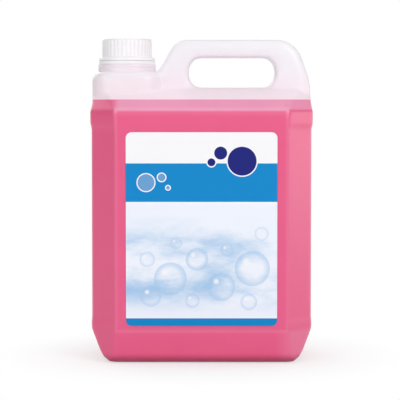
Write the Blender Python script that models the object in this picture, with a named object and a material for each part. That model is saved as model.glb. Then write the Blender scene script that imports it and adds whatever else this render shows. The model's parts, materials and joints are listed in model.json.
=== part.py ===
"""Hand soap refill pack: a five-litre blow-moulded jerry can with its soap, front label and screw cap.

The can stands on the plane z = 0 with its front label facing -Y, its neck at -X and its handle at +X.
"""

import math

import bmesh
import bpy

MM = 0.001

# Can body
BODY_WIDTH = 195.4 * MM
BODY_DEPTH = 125.0 * MM
WALL = 1.2 * MM
CORNER_RUN_X = 22.5 * MM
CORNER_RUN_Y = 26.0 * MM
CORNER_ROUNDNESS = 0.35
CORNER_STEPS = 6

# Base: a flat foot round a shallow hollow, a fillet and a chamfer on all sides
BASE_HOLLOW = 1.2 * MM
BASE_HOLLOW_SLOPE = 3.0 * MM
FOOT_WIDTH = 11.0 * MM
BASE_FILLET_HEIGHT = 6.5 * MM
BASE_END_FILLET_RUN = 10.0 * MM
BASE_FRONT_FILLET_RUN = 6.0 * MM
BASE_CORNER_RUN_X = 4.0 * MM
BASE_CORNER_RUN_Y = 9.0 * MM
BASE_FILLET_STEPS = 4
CHAMFER_HEIGHT = 29.0 * MM
END_CHAMFER_ANGLE = math.radians(22.7)
FRONT_CHAMFER_ANGLE = math.radians(15.0)
CHAMFER_SOFTNESS = 2.5 * MM
CHAMFER_EDGE_SHARE = 0.25

# End panels, set back between a lower and an upper band
PANEL_RECESS = 0.9 * MM
PANEL_BOTTOM = 36.0 * MM
PANEL_BELOW_CREASE = 13.4 * MM
PANEL_STEP = 2.5 * MM

# Shoulder: a soft edge below the crease, then a sloped roof up to the handle
CREASE_HEIGHT = 221.4 * MM
SHOULDER_SOFT_HEIGHT = 8.4 * MM
SHOULDER_SOFT_DEPTH = 2.0 * MM
SHOULDER_STEPS = 3
ROOF_STEPS = 3
ROOF_END_SETBACK = 2.0 * MM
ROOF_TOP_CORNER_RUN_X = 14.0 * MM
ROOF_TOP_CORNER_RUN_Y = 8.0 * MM
ROOF_BELOW_HOLE = 1.2 * MM
ROOF_OUTSIDE_HANDLE = 1.0 * MM

# Handle: one hollow ring round the finger hole, with rises above the crease
HANDLE_RISE = 61.9 * MM
HANDLE_DEPTH = 34.0 * MM
HANDLE_BAR_HEIGHT = 15.9 * MM
HANDLE_OUTER_ROUND = 7.5 * MM
HANDLE_HOLE_ROUND = 5.0 * MM
HANDLE_ROUND_STEPS = 3
HANDLE_FOOT_GAP = 2.6 * MM
HANDLE_LEAN = math.radians(28.8)
HANDLE_LEFT_CORNER_RADIUS = 16.0 * MM
HANDLE_RIGHT_CORNER_RADIUS = 22.0 * MM
HANDLE_RIGHT_SETBACK = 14.5 * MM
HANDLE_KNEE_SETBACK = 1.2 * MM
HANDLE_KNEE_RISE = 25.6 * MM
HANDLE_KNEE_RADIUS = 60.0 * MM
HANDLE_HIP_SETBACK = 0.3 * MM
HANDLE_HIP_RISE = 9.6 * MM
HANDLE_HIP_RADIUS = 60.0 * MM
HANDLE_BURIED_SETBACK = 0.6 * MM
HOLE_HEIGHT = 26.6 * MM
HOLE_END_RUN = 10.5 * MM
HOLE_LEFT_LEG = 26.75 * MM
HOLE_RIGHT_LEG = 31.8 * MM
HOLE_STRAIGHT_STEPS = 6
HOLE_END_STEPS = 10

# Neck block: the raised part of the shoulder that carries the neck, up to a platform above the crease
PLATFORM_RISE = 34.1 * MM
BLOCK_DEPTH = 59.0 * MM
BLOCK_LENGTH = 63.4 * MM
BLOCK_END_SETBACK = 0.3 * MM
BLOCK_CORNER_RADIUS = 21.0 * MM
BLOCK_FILLET_RUN = 7.5 * MM
BLOCK_FILLET_RISE = 10.0 * MM
BLOCK_FILLET_STEPS = 4

# Neck, with heights above the platform
NECK_FROM_END = 31.0 * MM
NECK_RADIUS = 18.5 * MM
NECK_WALL = 2.0 * MM
NECK_HEIGHT = 25.5 * MM
NECK_RIM_CHAMFER = 0.6 * MM
NECK_ROOT_DEPTH = 6.0 * MM
COLLAR_PROUD = 0.75 * MM
COLLAR_HEIGHT = 5.8 * MM
COLLAR_GROOVE_DEPTH = 0.4 * MM
COLLAR_GROOVE_BOTTOM = 3.0 * MM
COLLAR_GROOVE_HEIGHT = 0.7 * MM
BEAD_REACH = 2.4 * MM
BEAD_HEIGHT = 1.5 * MM
BEAD_LAND = 0.6 * MM

# Ratchet lugs on the collar, as pairs on opposite sides
LUG_ANGLES = (math.radians(196.0), math.radians(210.0), math.radians(16.0), math.radians(30.0))
LUG_WIDTH = 1.3 * MM
LUG_REACH = 0.45 * MM
LUG_HEIGHT = 5.2 * MM

# Thread, right-handed with a single start
THREAD_PITCH = 4.5 * MM
THREAD_TURNS = 2.0
THREAD_START = 12.5 * MM
THREAD_DEPTH = 1.15 * MM
THREAD_ROOT_WIDTH = 2.0 * MM
THREAD_CREST_WIDTH = 0.9 * MM
THREAD_CLEARANCE = 0.35 * MM
THREAD_SINK = 0.4 * MM
THREAD_RUN_OUT = math.radians(40.0)
THREAD_STEPS = 32

# Screw cap and tamper band
SEAT_GAP = 0.3 * MM
BAND_LIP_HEIGHT = 0.8 * MM
BAND_LIP_CLEARANCE = 0.7 * MM
BAND_HEIGHT = 2.8 * MM
BAND_CLEARANCE = 0.4 * MM
SPLIT_GAP = 0.35 * MM
FLARE_RADIUS = 24.9 * MM
FLARE_HEIGHT = 2.6 * MM
FLARE_SLOPE = 0.9 * MM
FLARE_WALL = 1.5 * MM
FLARE_HOLLOW = 1.1 * MM
FLARE_HOLLOW_SLOPE = 0.9 * MM
CAP_SKIRT_WALL = 1.6 * MM
CAP_TOP_WALL = 1.5 * MM
CAP_TOP_ROUND = 1.2 * MM
CAP_TOP_BAND = 0.8 * MM
RIB_COUNT = 36
RIB_HEIGHT = 0.5 * MM
RIB_SAMPLES = (0.0, 1.0, 1.0)
LINER_THICKNESS = 0.9 * MM
LINER_CLEARANCE = 0.3 * MM

# Front label, a printed film
LABEL_SIDE_MARGIN = 32.2 * MM
LABEL_TOP_MARGIN = 19.6 * MM
LABEL_BOTTOM = 33.8 * MM
LABEL_CORNER_RADIUS = 5.0 * MM
LABEL_CORNER_STEPS = 6
LABEL_THICKNESS = 0.2 * MM
LABEL_GAP = 0.3 * MM

# Soap, with its level above the crease
FILL_RISE = 8.6 * MM
SOAP_GAP = 0.3 * MM

TURNED_STEPS = 48
BAND_STEPS = 72
CUT_OVERRUN = 2.0 * MM
SHARP_ANGLE = math.radians(28.0)
ROUNDING = 1e-9

# Places that follow from the sizes above
END_X = BODY_WIDTH / 2
FRONT_Y = BODY_DEPTH / 2
PACK_CENTRE_Y = (LABEL_GAP + LABEL_THICKNESS) / 2
NECK_X = NECK_FROM_END - END_X
COLLAR_RADIUS = FLARE_RADIUS + COLLAR_PROUD
PANEL_TOP = CREASE_HEIGHT - PANEL_BELOW_CREASE
BURIED_HEIGHT = CREASE_HEIGHT - SHOULDER_SOFT_HEIGHT
PLATFORM_HEIGHT = CREASE_HEIGHT + PLATFORM_RISE
FILL_HEIGHT = CREASE_HEIGHT + FILL_RISE
LABEL_WIDTH = BODY_WIDTH - 2 * LABEL_SIDE_MARGIN
LABEL_HEIGHT = CREASE_HEIGHT - LABEL_TOP_MARGIN - LABEL_BOTTOM
HANDLE_TOP = CREASE_HEIGHT + HANDLE_RISE
HANDLE_FOOT_X = NECK_X + COLLAR_RADIUS + HANDLE_FOOT_GAP
HOLE_TOP = HANDLE_TOP - HANDLE_BAR_HEIGHT
HOLE_BOTTOM = HOLE_TOP - HOLE_HEIGHT
HOLE_LEFT = HANDLE_FOOT_X + HOLE_LEFT_LEG
HOLE_RIGHT = END_X - HOLE_RIGHT_LEG
ROOF_TOP = HOLE_BOTTOM - ROOF_BELOW_HOLE
ROOF_TOP_HALF_DEPTH = HANDLE_DEPTH / 2 + ROOF_OUTSIDE_HANDLE
BAND_BOTTOM = COLLAR_HEIGHT + SEAT_GAP
BAND_TOP = BAND_BOTTOM + BAND_HEIGHT
BEAD_RADIUS = NECK_RADIUS + BEAD_REACH
BEAD_BOTTOM = BAND_BOTTOM + BAND_LIP_HEIGHT + SEAT_GAP
THREAD_CREST_RADIUS = NECK_RADIUS + THREAD_DEPTH
CAP_BORE_RADIUS = THREAD_CREST_RADIUS + THREAD_CLEARANCE
CAP_BOTTOM = BAND_TOP + SPLIT_GAP
LINER_BOTTOM = NECK_HEIGHT + SEAT_GAP
LINER_TOP = LINER_BOTTOM + LINER_THICKNESS
CAP_CEILING = LINER_TOP + SEAT_GAP
CAP_TOP = CAP_CEILING + CAP_TOP_WALL


def between(first, last, share):
    """The value a share of the way from the first to the last."""
    return first + (last - first) * share


def skinned(name, rings, looped=False):
    """A closed mesh through rings of points. A ring of one point is a pole, and looped joins the last to the first."""
    shape = bmesh.new()
    rows = [[shape.verts.new(point) for point in ring] for ring in rings]
    pairs = list(zip(rows, rows[1:]))
    if looped:
        pairs.append((rows[-1], rows[0]))
    for lower, upper in pairs:
        count = max(len(lower), len(upper))
        for i in range(count):
            j = (i + 1) % count
            if len(lower) == 1:
                shape.faces.new((lower[0], upper[j], upper[i]))
            elif len(upper) == 1:
                shape.faces.new((lower[i], lower[j], upper[0]))
            else:
                shape.faces.new((lower[i], lower[j], upper[j], upper[i]))
    if not looped:
        for row in (rows[0], rows[-1]):
            if len(row) > 1:
                shape.faces.new(row)
    bmesh.ops.recalc_face_normals(shape, faces=shape.faces[:])
    mesh = bpy.data.meshes.new(name)
    shape.to_mesh(mesh)
    shape.free()
    return mesh


def shrunk(mesh, distance):
    """Moves each point of a closed mesh inwards, so that every face goes in by the distance."""
    shape = bmesh.new()
    shape.from_mesh(mesh)
    shape.normal_update()
    moves = [vert.normal * vert.calc_shell_factor() * distance for vert in shape.verts]
    for vert, move in zip(shape.verts, moves):
        vert.co -= move
    shape.to_mesh(mesh)
    shape.free()
    return mesh


def plan_ring(height, half_width, half_depth, run_x, run_y, roundness, centre_x=0.0, steps=CORNER_STEPS):
    """A level rectangle with cut corners. Roundness 0 leaves straight cuts and 1 makes them quarter ellipses."""
    quarter = []
    for i in range(steps + 1):
        share = i / steps
        angle = share * math.pi / 2
        x = half_width - run_x * (1 - between(share, math.sin(angle), roundness))
        y = half_depth - run_y * (1 - between(1 - share, math.cos(angle), roundness))
        quarter.append((x, y))
    front_right = [(x, -y) for x, y in quarter]
    back_right = [(x, y) for x, y in reversed(quarter)]
    back_left = [(-x, y) for x, y in quarter]
    front_left = [(-x, -y) for x, y in reversed(quarter)]
    points = front_right + back_right + back_left + front_left
    return [(centre_x + x, y, height) for x, y in points]


def chamfered(height, full_size, angle):
    """Half the body's width or depth where the base chamfer's plane is at this height."""
    return full_size - math.tan(angle) * (CHAMFER_HEIGHT - height)


def base_levels():
    """(height, half width, half depth) from the hollow under the can up to the lower band."""
    corner = (chamfered(0, END_X, END_CHAMFER_ANGLE), chamfered(0, FRONT_Y, FRONT_CHAMFER_ANGLE))
    top = (
        chamfered(BASE_FILLET_HEIGHT, END_X, END_CHAMFER_ANGLE),
        chamfered(BASE_FILLET_HEIGHT, FRONT_Y, FRONT_CHAMFER_ANGLE),
    )
    foot = [size - run for size, run in zip(corner, (BASE_END_FILLET_RUN, BASE_FRONT_FILLET_RUN))]
    inner = [size - FOOT_WIDTH for size in foot]
    levels = [(BASE_HOLLOW, *(size - BASE_HOLLOW_SLOPE for size in inner)), (0.0, *inner)]
    for i in range(BASE_FILLET_STEPS + 1):
        t = i / BASE_FILLET_STEPS
        sizes = [
            (1 - t) ** 2 * low + 2 * t * (1 - t) * middle + t**2 * high
            for low, middle, high in zip(foot, corner, top)
        ]
        levels.append((t**2 * BASE_FILLET_HEIGHT, *sizes))
    low = CHAMFER_HEIGHT - CHAMFER_SOFTNESS
    low_sizes = (chamfered(low, END_X, END_CHAMFER_ANGLE), chamfered(low, FRONT_Y, FRONT_CHAMFER_ANGLE))
    full_sizes = (END_X, FRONT_Y)
    edge_sizes = [between(full, size, CHAMFER_EDGE_SHARE) for full, size in zip(full_sizes, low_sizes)]
    levels.append((low, *low_sizes))
    levels.append((CHAMFER_HEIGHT, *edge_sizes))
    levels.append((CHAMFER_HEIGHT + CHAMFER_SOFTNESS, *full_sizes))
    return levels


def panel_levels():
    """(height, half width, half depth) of the set-back end panels and of the soft edge above them."""
    recessed = END_X - PANEL_RECESS
    levels = [
        (PANEL_BOTTOM, END_X, FRONT_Y),
        (PANEL_BOTTOM + PANEL_STEP, recessed, FRONT_Y),
        (PANEL_TOP - PANEL_STEP, recessed, FRONT_Y),
        (PANEL_TOP, END_X, FRONT_Y),
    ]
    for i in range(SHOULDER_STEPS + 1):
        share = i / SHOULDER_STEPS
        height = BURIED_HEIGHT + share * SHOULDER_SOFT_HEIGHT
        levels.append((height, END_X, FRONT_Y - SHOULDER_SOFT_DEPTH * share**2))
    return levels


def can_body(name, inset=0.0):
    """The can from its base to the top of the sloped roof, set in on all sides by the inset."""
    rings = []
    for height, half_width, half_depth in base_levels() + panel_levels():
        share = min(1.0, height / CHAMFER_HEIGHT)
        run_x = between(BASE_CORNER_RUN_X, CORNER_RUN_X, share)
        run_y = between(BASE_CORNER_RUN_Y, CORNER_RUN_Y, share)
        rings.append(plan_ring(height, half_width, half_depth, run_x, run_y, CORNER_ROUNDNESS))
    for i in range(1, ROOF_STEPS + 1):
        share = i / ROOF_STEPS
        rings.append(
            plan_ring(
                between(CREASE_HEIGHT, ROOF_TOP, share),
                END_X - ROOF_END_SETBACK * share**2,
                between(FRONT_Y - SHOULDER_SOFT_DEPTH, ROOF_TOP_HALF_DEPTH, share),
                between(CORNER_RUN_X, ROOF_TOP_CORNER_RUN_X, share),
                between(CORNER_RUN_Y, ROOF_TOP_CORNER_RUN_Y, share),
                CORNER_ROUNDNESS,
            )
        )
    return shrunk(skinned(name, rings), inset)


def neck_block(name, inset=0.0):
    """The raised block under the neck, from inside the body up to the platform."""
    left = BLOCK_END_SETBACK - END_X
    centre_x = left + BLOCK_LENGTH / 2
    levels = [(BURIED_HEIGHT, 0.0)]
    for i in range(BLOCK_FILLET_STEPS + 1):
        angle = i / BLOCK_FILLET_STEPS * math.pi / 2
        height = PLATFORM_HEIGHT - BLOCK_FILLET_RISE * (1 - math.sin(angle))
        levels.append((height, BLOCK_FILLET_RUN * (1 - math.cos(angle))))
    rings = [
        plan_ring(
            height,
            BLOCK_LENGTH / 2 - setback,
            BLOCK_DEPTH / 2 - setback,
            BLOCK_CORNER_RADIUS - setback,
            BLOCK_CORNER_RADIUS - setback,
            1.0,
            centre_x,
        )
        for height, setback in levels
    ]
    return shrunk(skinned(name, rings), inset)


def rounded_outline(corners, arc_step=math.radians(9.0)):
    """A closed outline through (x, z, radius) corners, each turned on an arc of its radius."""
    outline = []
    for i, (x, z, radius) in enumerate(corners):
        before = corners[i - 1]
        after = corners[(i + 1) % len(corners)]
        arriving = math.atan2(z - before[1], x - before[0])
        leaving = math.atan2(after[1] - z, after[0] - x)
        turn = (leaving - arriving + math.pi) % (2 * math.pi) - math.pi
        if radius == 0:
            outline.append((x, z))
            continue
        reach = radius * math.tan(abs(turn) / 2)
        side = math.copysign(1.0, turn)
        start_x = x - reach * math.cos(arriving)
        start_z = z - reach * math.sin(arriving)
        centre_x = start_x - side * radius * math.sin(arriving)
        centre_z = start_z + side * radius * math.cos(arriving)
        steps = max(1, math.ceil(abs(turn) / arc_step))
        for step in range(steps + 1):
            heading = arriving + turn * step / steps
            outline.append(
                (centre_x + side * radius * math.sin(heading), centre_z - side * radius * math.cos(heading))
            )
    return outline


def handle_outline():
    """The handle's outer outline in the XZ plane, clockwise from its buried left corner."""
    lean = math.tan(HANDLE_LEAN)
    return rounded_outline(
        [
            (HANDLE_FOOT_X - (PLATFORM_HEIGHT - BURIED_HEIGHT) * lean, BURIED_HEIGHT, 0.0),
            (HANDLE_FOOT_X + (HANDLE_TOP - PLATFORM_HEIGHT) * lean, HANDLE_TOP, HANDLE_LEFT_CORNER_RADIUS),
            (END_X - HANDLE_RIGHT_SETBACK, HANDLE_TOP, HANDLE_RIGHT_CORNER_RADIUS),
            (END_X - HANDLE_KNEE_SETBACK, CREASE_HEIGHT + HANDLE_KNEE_RISE, HANDLE_KNEE_RADIUS),
            (END_X - HANDLE_HIP_SETBACK, CREASE_HEIGHT + HANDLE_HIP_RISE, HANDLE_HIP_RADIUS),
            (END_X - HANDLE_BURIED_SETBACK, BURIED_HEIGHT, 0.0),
        ]
    )


def distance_out(origin, direction, outline):
    """How far a ray goes from a point inside an outline until it meets it."""
    hits = []
    for (ax, az), (bx, bz) in zip(outline, outline[1:] + outline[:1]):
        edge_x = bx - ax
        edge_z = bz - az
        across = direction[0] * edge_z - direction[1] * edge_x
        if abs(across) < ROUNDING:
            continue
        to_x = ax - origin[0]
        to_z = az - origin[1]
        along_ray = (to_x * edge_z - to_z * edge_x) / across
        along_edge = (to_x * direction[1] - to_z * direction[0]) / across
        if along_ray > 0 and -ROUNDING <= along_edge <= 1 + ROUNDING:
            hits.append(along_ray)
    return min(hits)


def hole_stations():
    """((x, z), (outward x, outward z)) round the finger hole, clockwise from its top left."""
    middle_z = (HOLE_TOP + HOLE_BOTTOM) / 2
    left_x = HOLE_LEFT + HOLE_END_RUN
    right_x = HOLE_RIGHT - HOLE_END_RUN
    half = HOLE_HEIGHT / 2
    stations = []
    for centre_x, other_x, start in ((left_x, right_x, math.pi / 2), (right_x, left_x, -math.pi / 2)):
        for i in range(HOLE_STRAIGHT_STEPS):
            x = between(centre_x, other_x, i / HOLE_STRAIGHT_STEPS)
            stations.append(((x, middle_z + half * math.sin(start)), (0.0, math.sin(start))))
        for i in range(HOLE_END_STEPS):
            angle = start - math.pi * i / HOLE_END_STEPS
            x = HOLE_END_RUN * math.cos(angle)
            z = half * math.sin(angle)
            normal = (x / HOLE_END_RUN**2, z / half**2)
            length = math.hypot(*normal)
            stations.append(((other_x + x, middle_z + z), (normal[0] / length, normal[1] / length)))
    return stations


def handle_ring(name, inset=0.0):
    """The handle as a section carried round the finger hole, with the section set in on all sides by the inset."""
    outline = handle_outline()
    half_depth = HANDLE_DEPTH / 2 - inset
    rings = []
    for origin, outward in hole_stations():
        length = distance_out(origin, outward, outline)
        section = []
        for side in (-1, 1):
            spans = [(inset, HANDLE_HOLE_ROUND - inset, 1), (length - inset, HANDLE_OUTER_ROUND - inset, -1)]
            corner = []
            for edge, radius, way in spans:
                for i in range(HANDLE_ROUND_STEPS + 1):
                    angle = i / HANDLE_ROUND_STEPS * math.pi / 2
                    angle = angle if way == 1 else math.pi / 2 - angle
                    along = edge + way * radius * (1 - math.cos(angle))
                    corner.append((along, side * (half_depth - radius * (1 - math.sin(angle)))))
            section += corner if side == -1 else corner[::-1]
        rings.append([(origin[0] + outward[0] * s, y, origin[1] + outward[1] * s) for s, y in section])
    return skinned(name, rings, looped=True)


def turned(name, profile, steps=TURNED_STEPS, ribs=None):
    """A closed solid turned about Z from (radius, height) points, or (radius, height, rib share) with ribs."""
    rings = []
    for radius, height, *share in profile:
        if radius == 0:
            rings.append([(0.0, 0.0, height)])
            continue
        ring = []
        for i in range(steps):
            angle = 2 * math.pi * i / steps
            grown = radius
            if share:
                grown += share[0] * RIB_HEIGHT * ribs[i % len(ribs)]
            ring.append((grown * math.cos(angle), grown * math.sin(angle), height))
        rings.append(ring)
    return skinned(name, rings, looped=profile[0][0] != 0)


def thread_ridge(name, root_radius, crest_radius, start_height):
    """A right-handed ridge that grows out of a wall, runs round and dies back into it."""
    full_turn = THREAD_TURNS * 2 * math.pi
    count = round(THREAD_TURNS * THREAD_STEPS)
    outward = math.copysign(1.0, crest_radius - root_radius)
    sunk_radius = root_radius - outward * THREAD_SINK
    rings = []
    for i in range(count + 1):
        angle = full_turn * i / count
        height = start_height + THREAD_PITCH * angle / (2 * math.pi)
        grown = min(1.0, angle / THREAD_RUN_OUT, (full_turn - angle) / THREAD_RUN_OUT)
        crest = between(root_radius - outward * THREAD_SINK / 2, crest_radius, grown)
        section = (
            (sunk_radius, height - THREAD_ROOT_WIDTH / 2),
            (crest, height - THREAD_CREST_WIDTH / 2),
            (crest, height + THREAD_CREST_WIDTH / 2),
            (sunk_radius, height + THREAD_ROOT_WIDTH / 2),
        )
        rings.append([(radius * math.cos(angle), radius * math.sin(angle), z) for radius, z in section])
    return skinned(name, rings)


def neck_solid(name):
    """The outside of the neck, filled: collar, bead, thread land and rim."""
    groove_radius = COLLAR_RADIUS - COLLAR_GROOVE_DEPTH
    groove_top = COLLAR_GROOVE_BOTTOM + COLLAR_GROOVE_HEIGHT
    return turned(
        name,
        [
            (0.0, -NECK_ROOT_DEPTH),
            (COLLAR_RADIUS, -NECK_ROOT_DEPTH),
            (COLLAR_RADIUS, COLLAR_GROOVE_BOTTOM),
            (groove_radius, COLLAR_GROOVE_BOTTOM),
            (groove_radius, groove_top),
            (COLLAR_RADIUS, groove_top),
            (COLLAR_RADIUS, COLLAR_HEIGHT),
            (NECK_RADIUS, COLLAR_HEIGHT),
            (NECK_RADIUS, BEAD_BOTTOM),
            (BEAD_RADIUS, BEAD_BOTTOM),
            (BEAD_RADIUS, BEAD_BOTTOM + BEAD_LAND),
            (NECK_RADIUS, BEAD_BOTTOM + BEAD_HEIGHT),
            (NECK_RADIUS, NECK_HEIGHT - NECK_RIM_CHAMFER),
            (NECK_RADIUS - NECK_RIM_CHAMFER, NECK_HEIGHT),
            (0.0, NECK_HEIGHT),
        ],
    )


def neck_bore(name):
    """The space inside the collar and the neck, open to the can below and past the rim above."""
    bore_radius = NECK_RADIUS - NECK_WALL
    collar_bore = COLLAR_RADIUS - WALL
    return turned(
        name,
        [
            (0.0, -NECK_ROOT_DEPTH - CUT_OVERRUN),
            (collar_bore, -NECK_ROOT_DEPTH - CUT_OVERRUN),
            (collar_bore, COLLAR_HEIGHT - WALL),
            (bore_radius, COLLAR_HEIGHT - WALL),
            (bore_radius, NECK_HEIGHT + CUT_OVERRUN),
            (0.0, NECK_HEIGHT + CUT_OVERRUN),
        ],
    )


def ratchet_lug(name, angle):
    """One small upright lug on the side of the collar."""
    inner = COLLAR_RADIUS - COLLAR_PROUD - COLLAR_GROOVE_DEPTH
    outer = COLLAR_RADIUS + LUG_REACH
    half = LUG_WIDTH / 2
    corners = ((inner, -half), (outer, -half), (outer, half), (inner, half))
    across = (math.cos(angle), math.sin(angle))
    return skinned(
        name,
        [
            [(r * across[0] - t * across[1], r * across[1] + t * across[0], height) for r, t in corners]
            for height in (-CUT_OVERRUN, LUG_HEIGHT)
        ],
    )


def cap_solid(name):
    """The ribbed cap with its flared foot, open below."""
    groove_radius = CAP_BORE_RADIUS + CAP_SKIRT_WALL
    top_radius = groove_radius + RIB_HEIGHT / 2
    round_inset = CAP_TOP_ROUND * (1 - math.sqrt(0.5))
    flare_top = CAP_BOTTOM + FLARE_HEIGHT
    hollow_radius = FLARE_RADIUS - FLARE_WALL
    hollow_top = CAP_BOTTOM + FLARE_HOLLOW
    return turned(
        name,
        [
            (0.0, CAP_TOP),
            (top_radius - CAP_TOP_ROUND, CAP_TOP),
            (top_radius - round_inset, CAP_TOP - round_inset),
            (top_radius, CAP_TOP - CAP_TOP_ROUND),
            (groove_radius, CAP_TOP - CAP_TOP_ROUND - CAP_TOP_BAND, 1.0),
            (groove_radius, flare_top + FLARE_SLOPE, 1.0),
            (FLARE_RADIUS - FLARE_SLOPE, flare_top),
            (FLARE_RADIUS, flare_top - FLARE_SLOPE / 2),
            (FLARE_RADIUS, CAP_BOTTOM),
            (hollow_radius, CAP_BOTTOM),
            (hollow_radius, hollow_top),
            (CAP_BORE_RADIUS, hollow_top + FLARE_HOLLOW_SLOPE),
            (CAP_BORE_RADIUS, CAP_CEILING),
            (0.0, CAP_CEILING),
        ],
        RIB_COUNT * len(RIB_SAMPLES),
        RIB_SAMPLES,
    )


def band_solid(name):
    """The tamper band, with a lip under the neck's bead."""
    lip_radius = NECK_RADIUS + BAND_LIP_CLEARANCE
    inner_radius = BEAD_RADIUS + BAND_CLEARANCE
    lip_top = BAND_BOTTOM + BAND_LIP_HEIGHT
    return turned(
        name,
        [
            (lip_radius, BAND_BOTTOM),
            (FLARE_RADIUS, BAND_BOTTOM),
            (FLARE_RADIUS, BAND_TOP),
            (inner_radius, BAND_TOP),
            (inner_radius, lip_top),
            (lip_radius, lip_top),
        ],
        BAND_STEPS,
    )


def liner_solid(name):
    """The foam disc in the cap."""
    radius = CAP_BORE_RADIUS - LINER_CLEARANCE
    return turned(name, [(0.0, LINER_BOTTOM), (radius, LINER_BOTTOM), (radius, LINER_TOP), (0.0, LINER_TOP)])


def label_solid(name):
    """The label as a thin upright plate with round corners, just clear of the front panel."""
    outline = plan_ring(
        0.0,
        LABEL_WIDTH / 2,
        LABEL_HEIGHT / 2,
        LABEL_CORNER_RADIUS,
        LABEL_CORNER_RADIUS,
        1.0,
        steps=LABEL_CORNER_STEPS,
    )
    back = -FRONT_Y - LABEL_GAP
    middle_z = LABEL_BOTTOM + LABEL_HEIGHT / 2
    return skinned(
        name, [[(x, depth, middle_z + z) for x, z, _ in outline] for depth in (back - LABEL_THICKNESS, back)]
    )


def box_solid(name, low, high):
    """An upright box between two corners."""
    corners = ((low[0], low[1]), (high[0], low[1]), (high[0], high[1]), (low[0], high[1]))
    return skinned(name, [[(x, y, z) for x, y in corners] for z in (low[2], high[2])])


def material(name, colour, roughness, alpha=1.0):
    """A plain Principled material."""
    made = bpy.data.materials.new(name)
    made.use_nodes = True
    shader = made.node_tree.nodes["Principled BSDF"]
    shader.inputs["Base Color"].default_value = (*colour, 1.0)
    shader.inputs["Roughness"].default_value = roughness
    shader.inputs["Metallic"].default_value = 0.0
    shader.inputs["Alpha"].default_value = alpha
    return made


def placed(name, mesh, parent, finish=None):
    """An object for a mesh under its parent. One with no finish is a helper that only cuts or joins."""
    obj = bpy.data.objects.new(name, mesh)
    obj.parent = parent
    bpy.context.scene.collection.objects.link(obj)
    if finish is None:
        obj.hide_render = True
        obj.display_type = "WIRE"
        return obj
    mesh.materials.append(finish)
    mesh.shade_smooth()
    mesh.set_sharp_from_angle(angle=SHARP_ANGLE)
    return obj


def combine(obj, other, operation):
    """Joins a helper to an object, or cuts it out of it."""
    modifier = obj.modifiers.new(f"{operation.lower()} {other.name}", "BOOLEAN")
    modifier.operation = operation
    modifier.solver = "EXACT"
    modifier.object = other


def empty(name, location, parent=None):
    """An empty that carries the pieces of one group."""
    obj = bpy.data.objects.new(name, None)
    obj.location = location
    obj.parent = parent
    bpy.context.scene.collection.objects.link(obj)
    return obj


def make_bottle(pack, neck):
    """The hollow can with its hollow handle, open neck and thread."""
    plastic = material("natural_polyethylene", (0.88, 0.84, 0.87), 0.42, 0.55)
    bottle = placed("bottle", can_body("bottle"), pack, plastic)
    combine(bottle, placed("block_outside", neck_block("block_outside"), pack), "UNION")
    combine(bottle, placed("handle_outside", handle_ring("handle_outside"), pack), "UNION")
    combine(bottle, placed("neck_outside", neck_solid("neck_outside"), neck), "UNION")
    ridge = thread_ridge("neck_thread", NECK_RADIUS, THREAD_CREST_RADIUS, THREAD_START)
    combine(bottle, placed("neck_thread", ridge, neck), "UNION")
    for number, angle in enumerate(LUG_ANGLES, 1):
        name = f"ratchet_lug_{number}"
        combine(bottle, placed(name, ratchet_lug(name, angle), neck), "UNION")
    combine(bottle, placed("body_inside", can_body("body_inside", WALL), pack), "DIFFERENCE")
    combine(bottle, placed("block_inside", neck_block("block_inside", WALL), pack), "DIFFERENCE")
    combine(bottle, placed("handle_inside", handle_ring("handle_inside", WALL), pack), "DIFFERENCE")
    combine(bottle, placed("neck_bore", neck_bore("neck_bore"), neck), "DIFFERENCE")


def make_soap(pack):
    """The liquid, up to its level in the can."""
    pink = material("pink_liquid_soap", (0.80, 0.12, 0.27), 0.12)
    soap = placed("soap", can_body("soap", WALL + SOAP_GAP), pack, pink)
    low = (-BODY_WIDTH, -BODY_DEPTH, FILL_HEIGHT)
    high = (BODY_WIDTH, BODY_DEPTH, HANDLE_TOP)
    combine(soap, placed("air_above_soap", box_solid("air_above_soap", low, high), pack), "DIFFERENCE")


def make_closure(neck):
    """The screw cap, its foam liner and the tamper band left on the neck."""
    white = material("white_polypropylene", (0.90, 0.89, 0.90), 0.38)
    foam = material("white_foam", (0.86, 0.86, 0.84), 0.80)
    cap = placed("cap", cap_solid("cap"), neck, white)
    overlap = THREAD_ROOT_WIDTH / 2 + THREAD_CREST_WIDTH / 2
    flank = (THREAD_ROOT_WIDTH - THREAD_CREST_WIDTH) / 2 / THREAD_DEPTH
    drop = overlap - flank * THREAD_CLEARANCE + SEAT_GAP
    crest = NECK_RADIUS + THREAD_CLEARANCE
    ridge = thread_ridge("cap_thread", CAP_BORE_RADIUS, crest, THREAD_START - drop)
    combine(cap, placed("cap_thread", ridge, neck), "UNION")
    placed("cap_liner", liner_solid("cap_liner"), neck, foam)
    placed("tamper_band", band_solid("tamper_band"), neck, white.copy())


def main():
    for old in list(bpy.data.objects):
        bpy.data.objects.remove(old)
    pack = empty("pack_centre", (0.0, PACK_CENTRE_Y, 0.0))
    neck = empty("neck_axis", (NECK_X, 0.0, PLATFORM_HEIGHT), pack)
    make_bottle(pack, neck)
    make_soap(pack)
    film = material("label_film", (0.90, 0.92, 0.95), 0.30)
    placed("front_label", label_solid("front_label"), pack, film)
    make_closure(neck)


main()
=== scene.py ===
"""Hand soap refill pack, dressed: a milky jerry can of pink soap with its printed label and ribbed screw cap.

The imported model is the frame. The can's skin and neck, the soap, the cap and the tamper band are modelled
here over their solids. The label and the cap's liner keep their solids and get their finish.
"""

import json
import logging
import math
from collections.abc import Callable, Iterable, Sequence
from dataclasses import dataclass, field, replace
from enum import Enum

import bmesh
import bpy
from mathutils import Matrix, Vector


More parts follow.
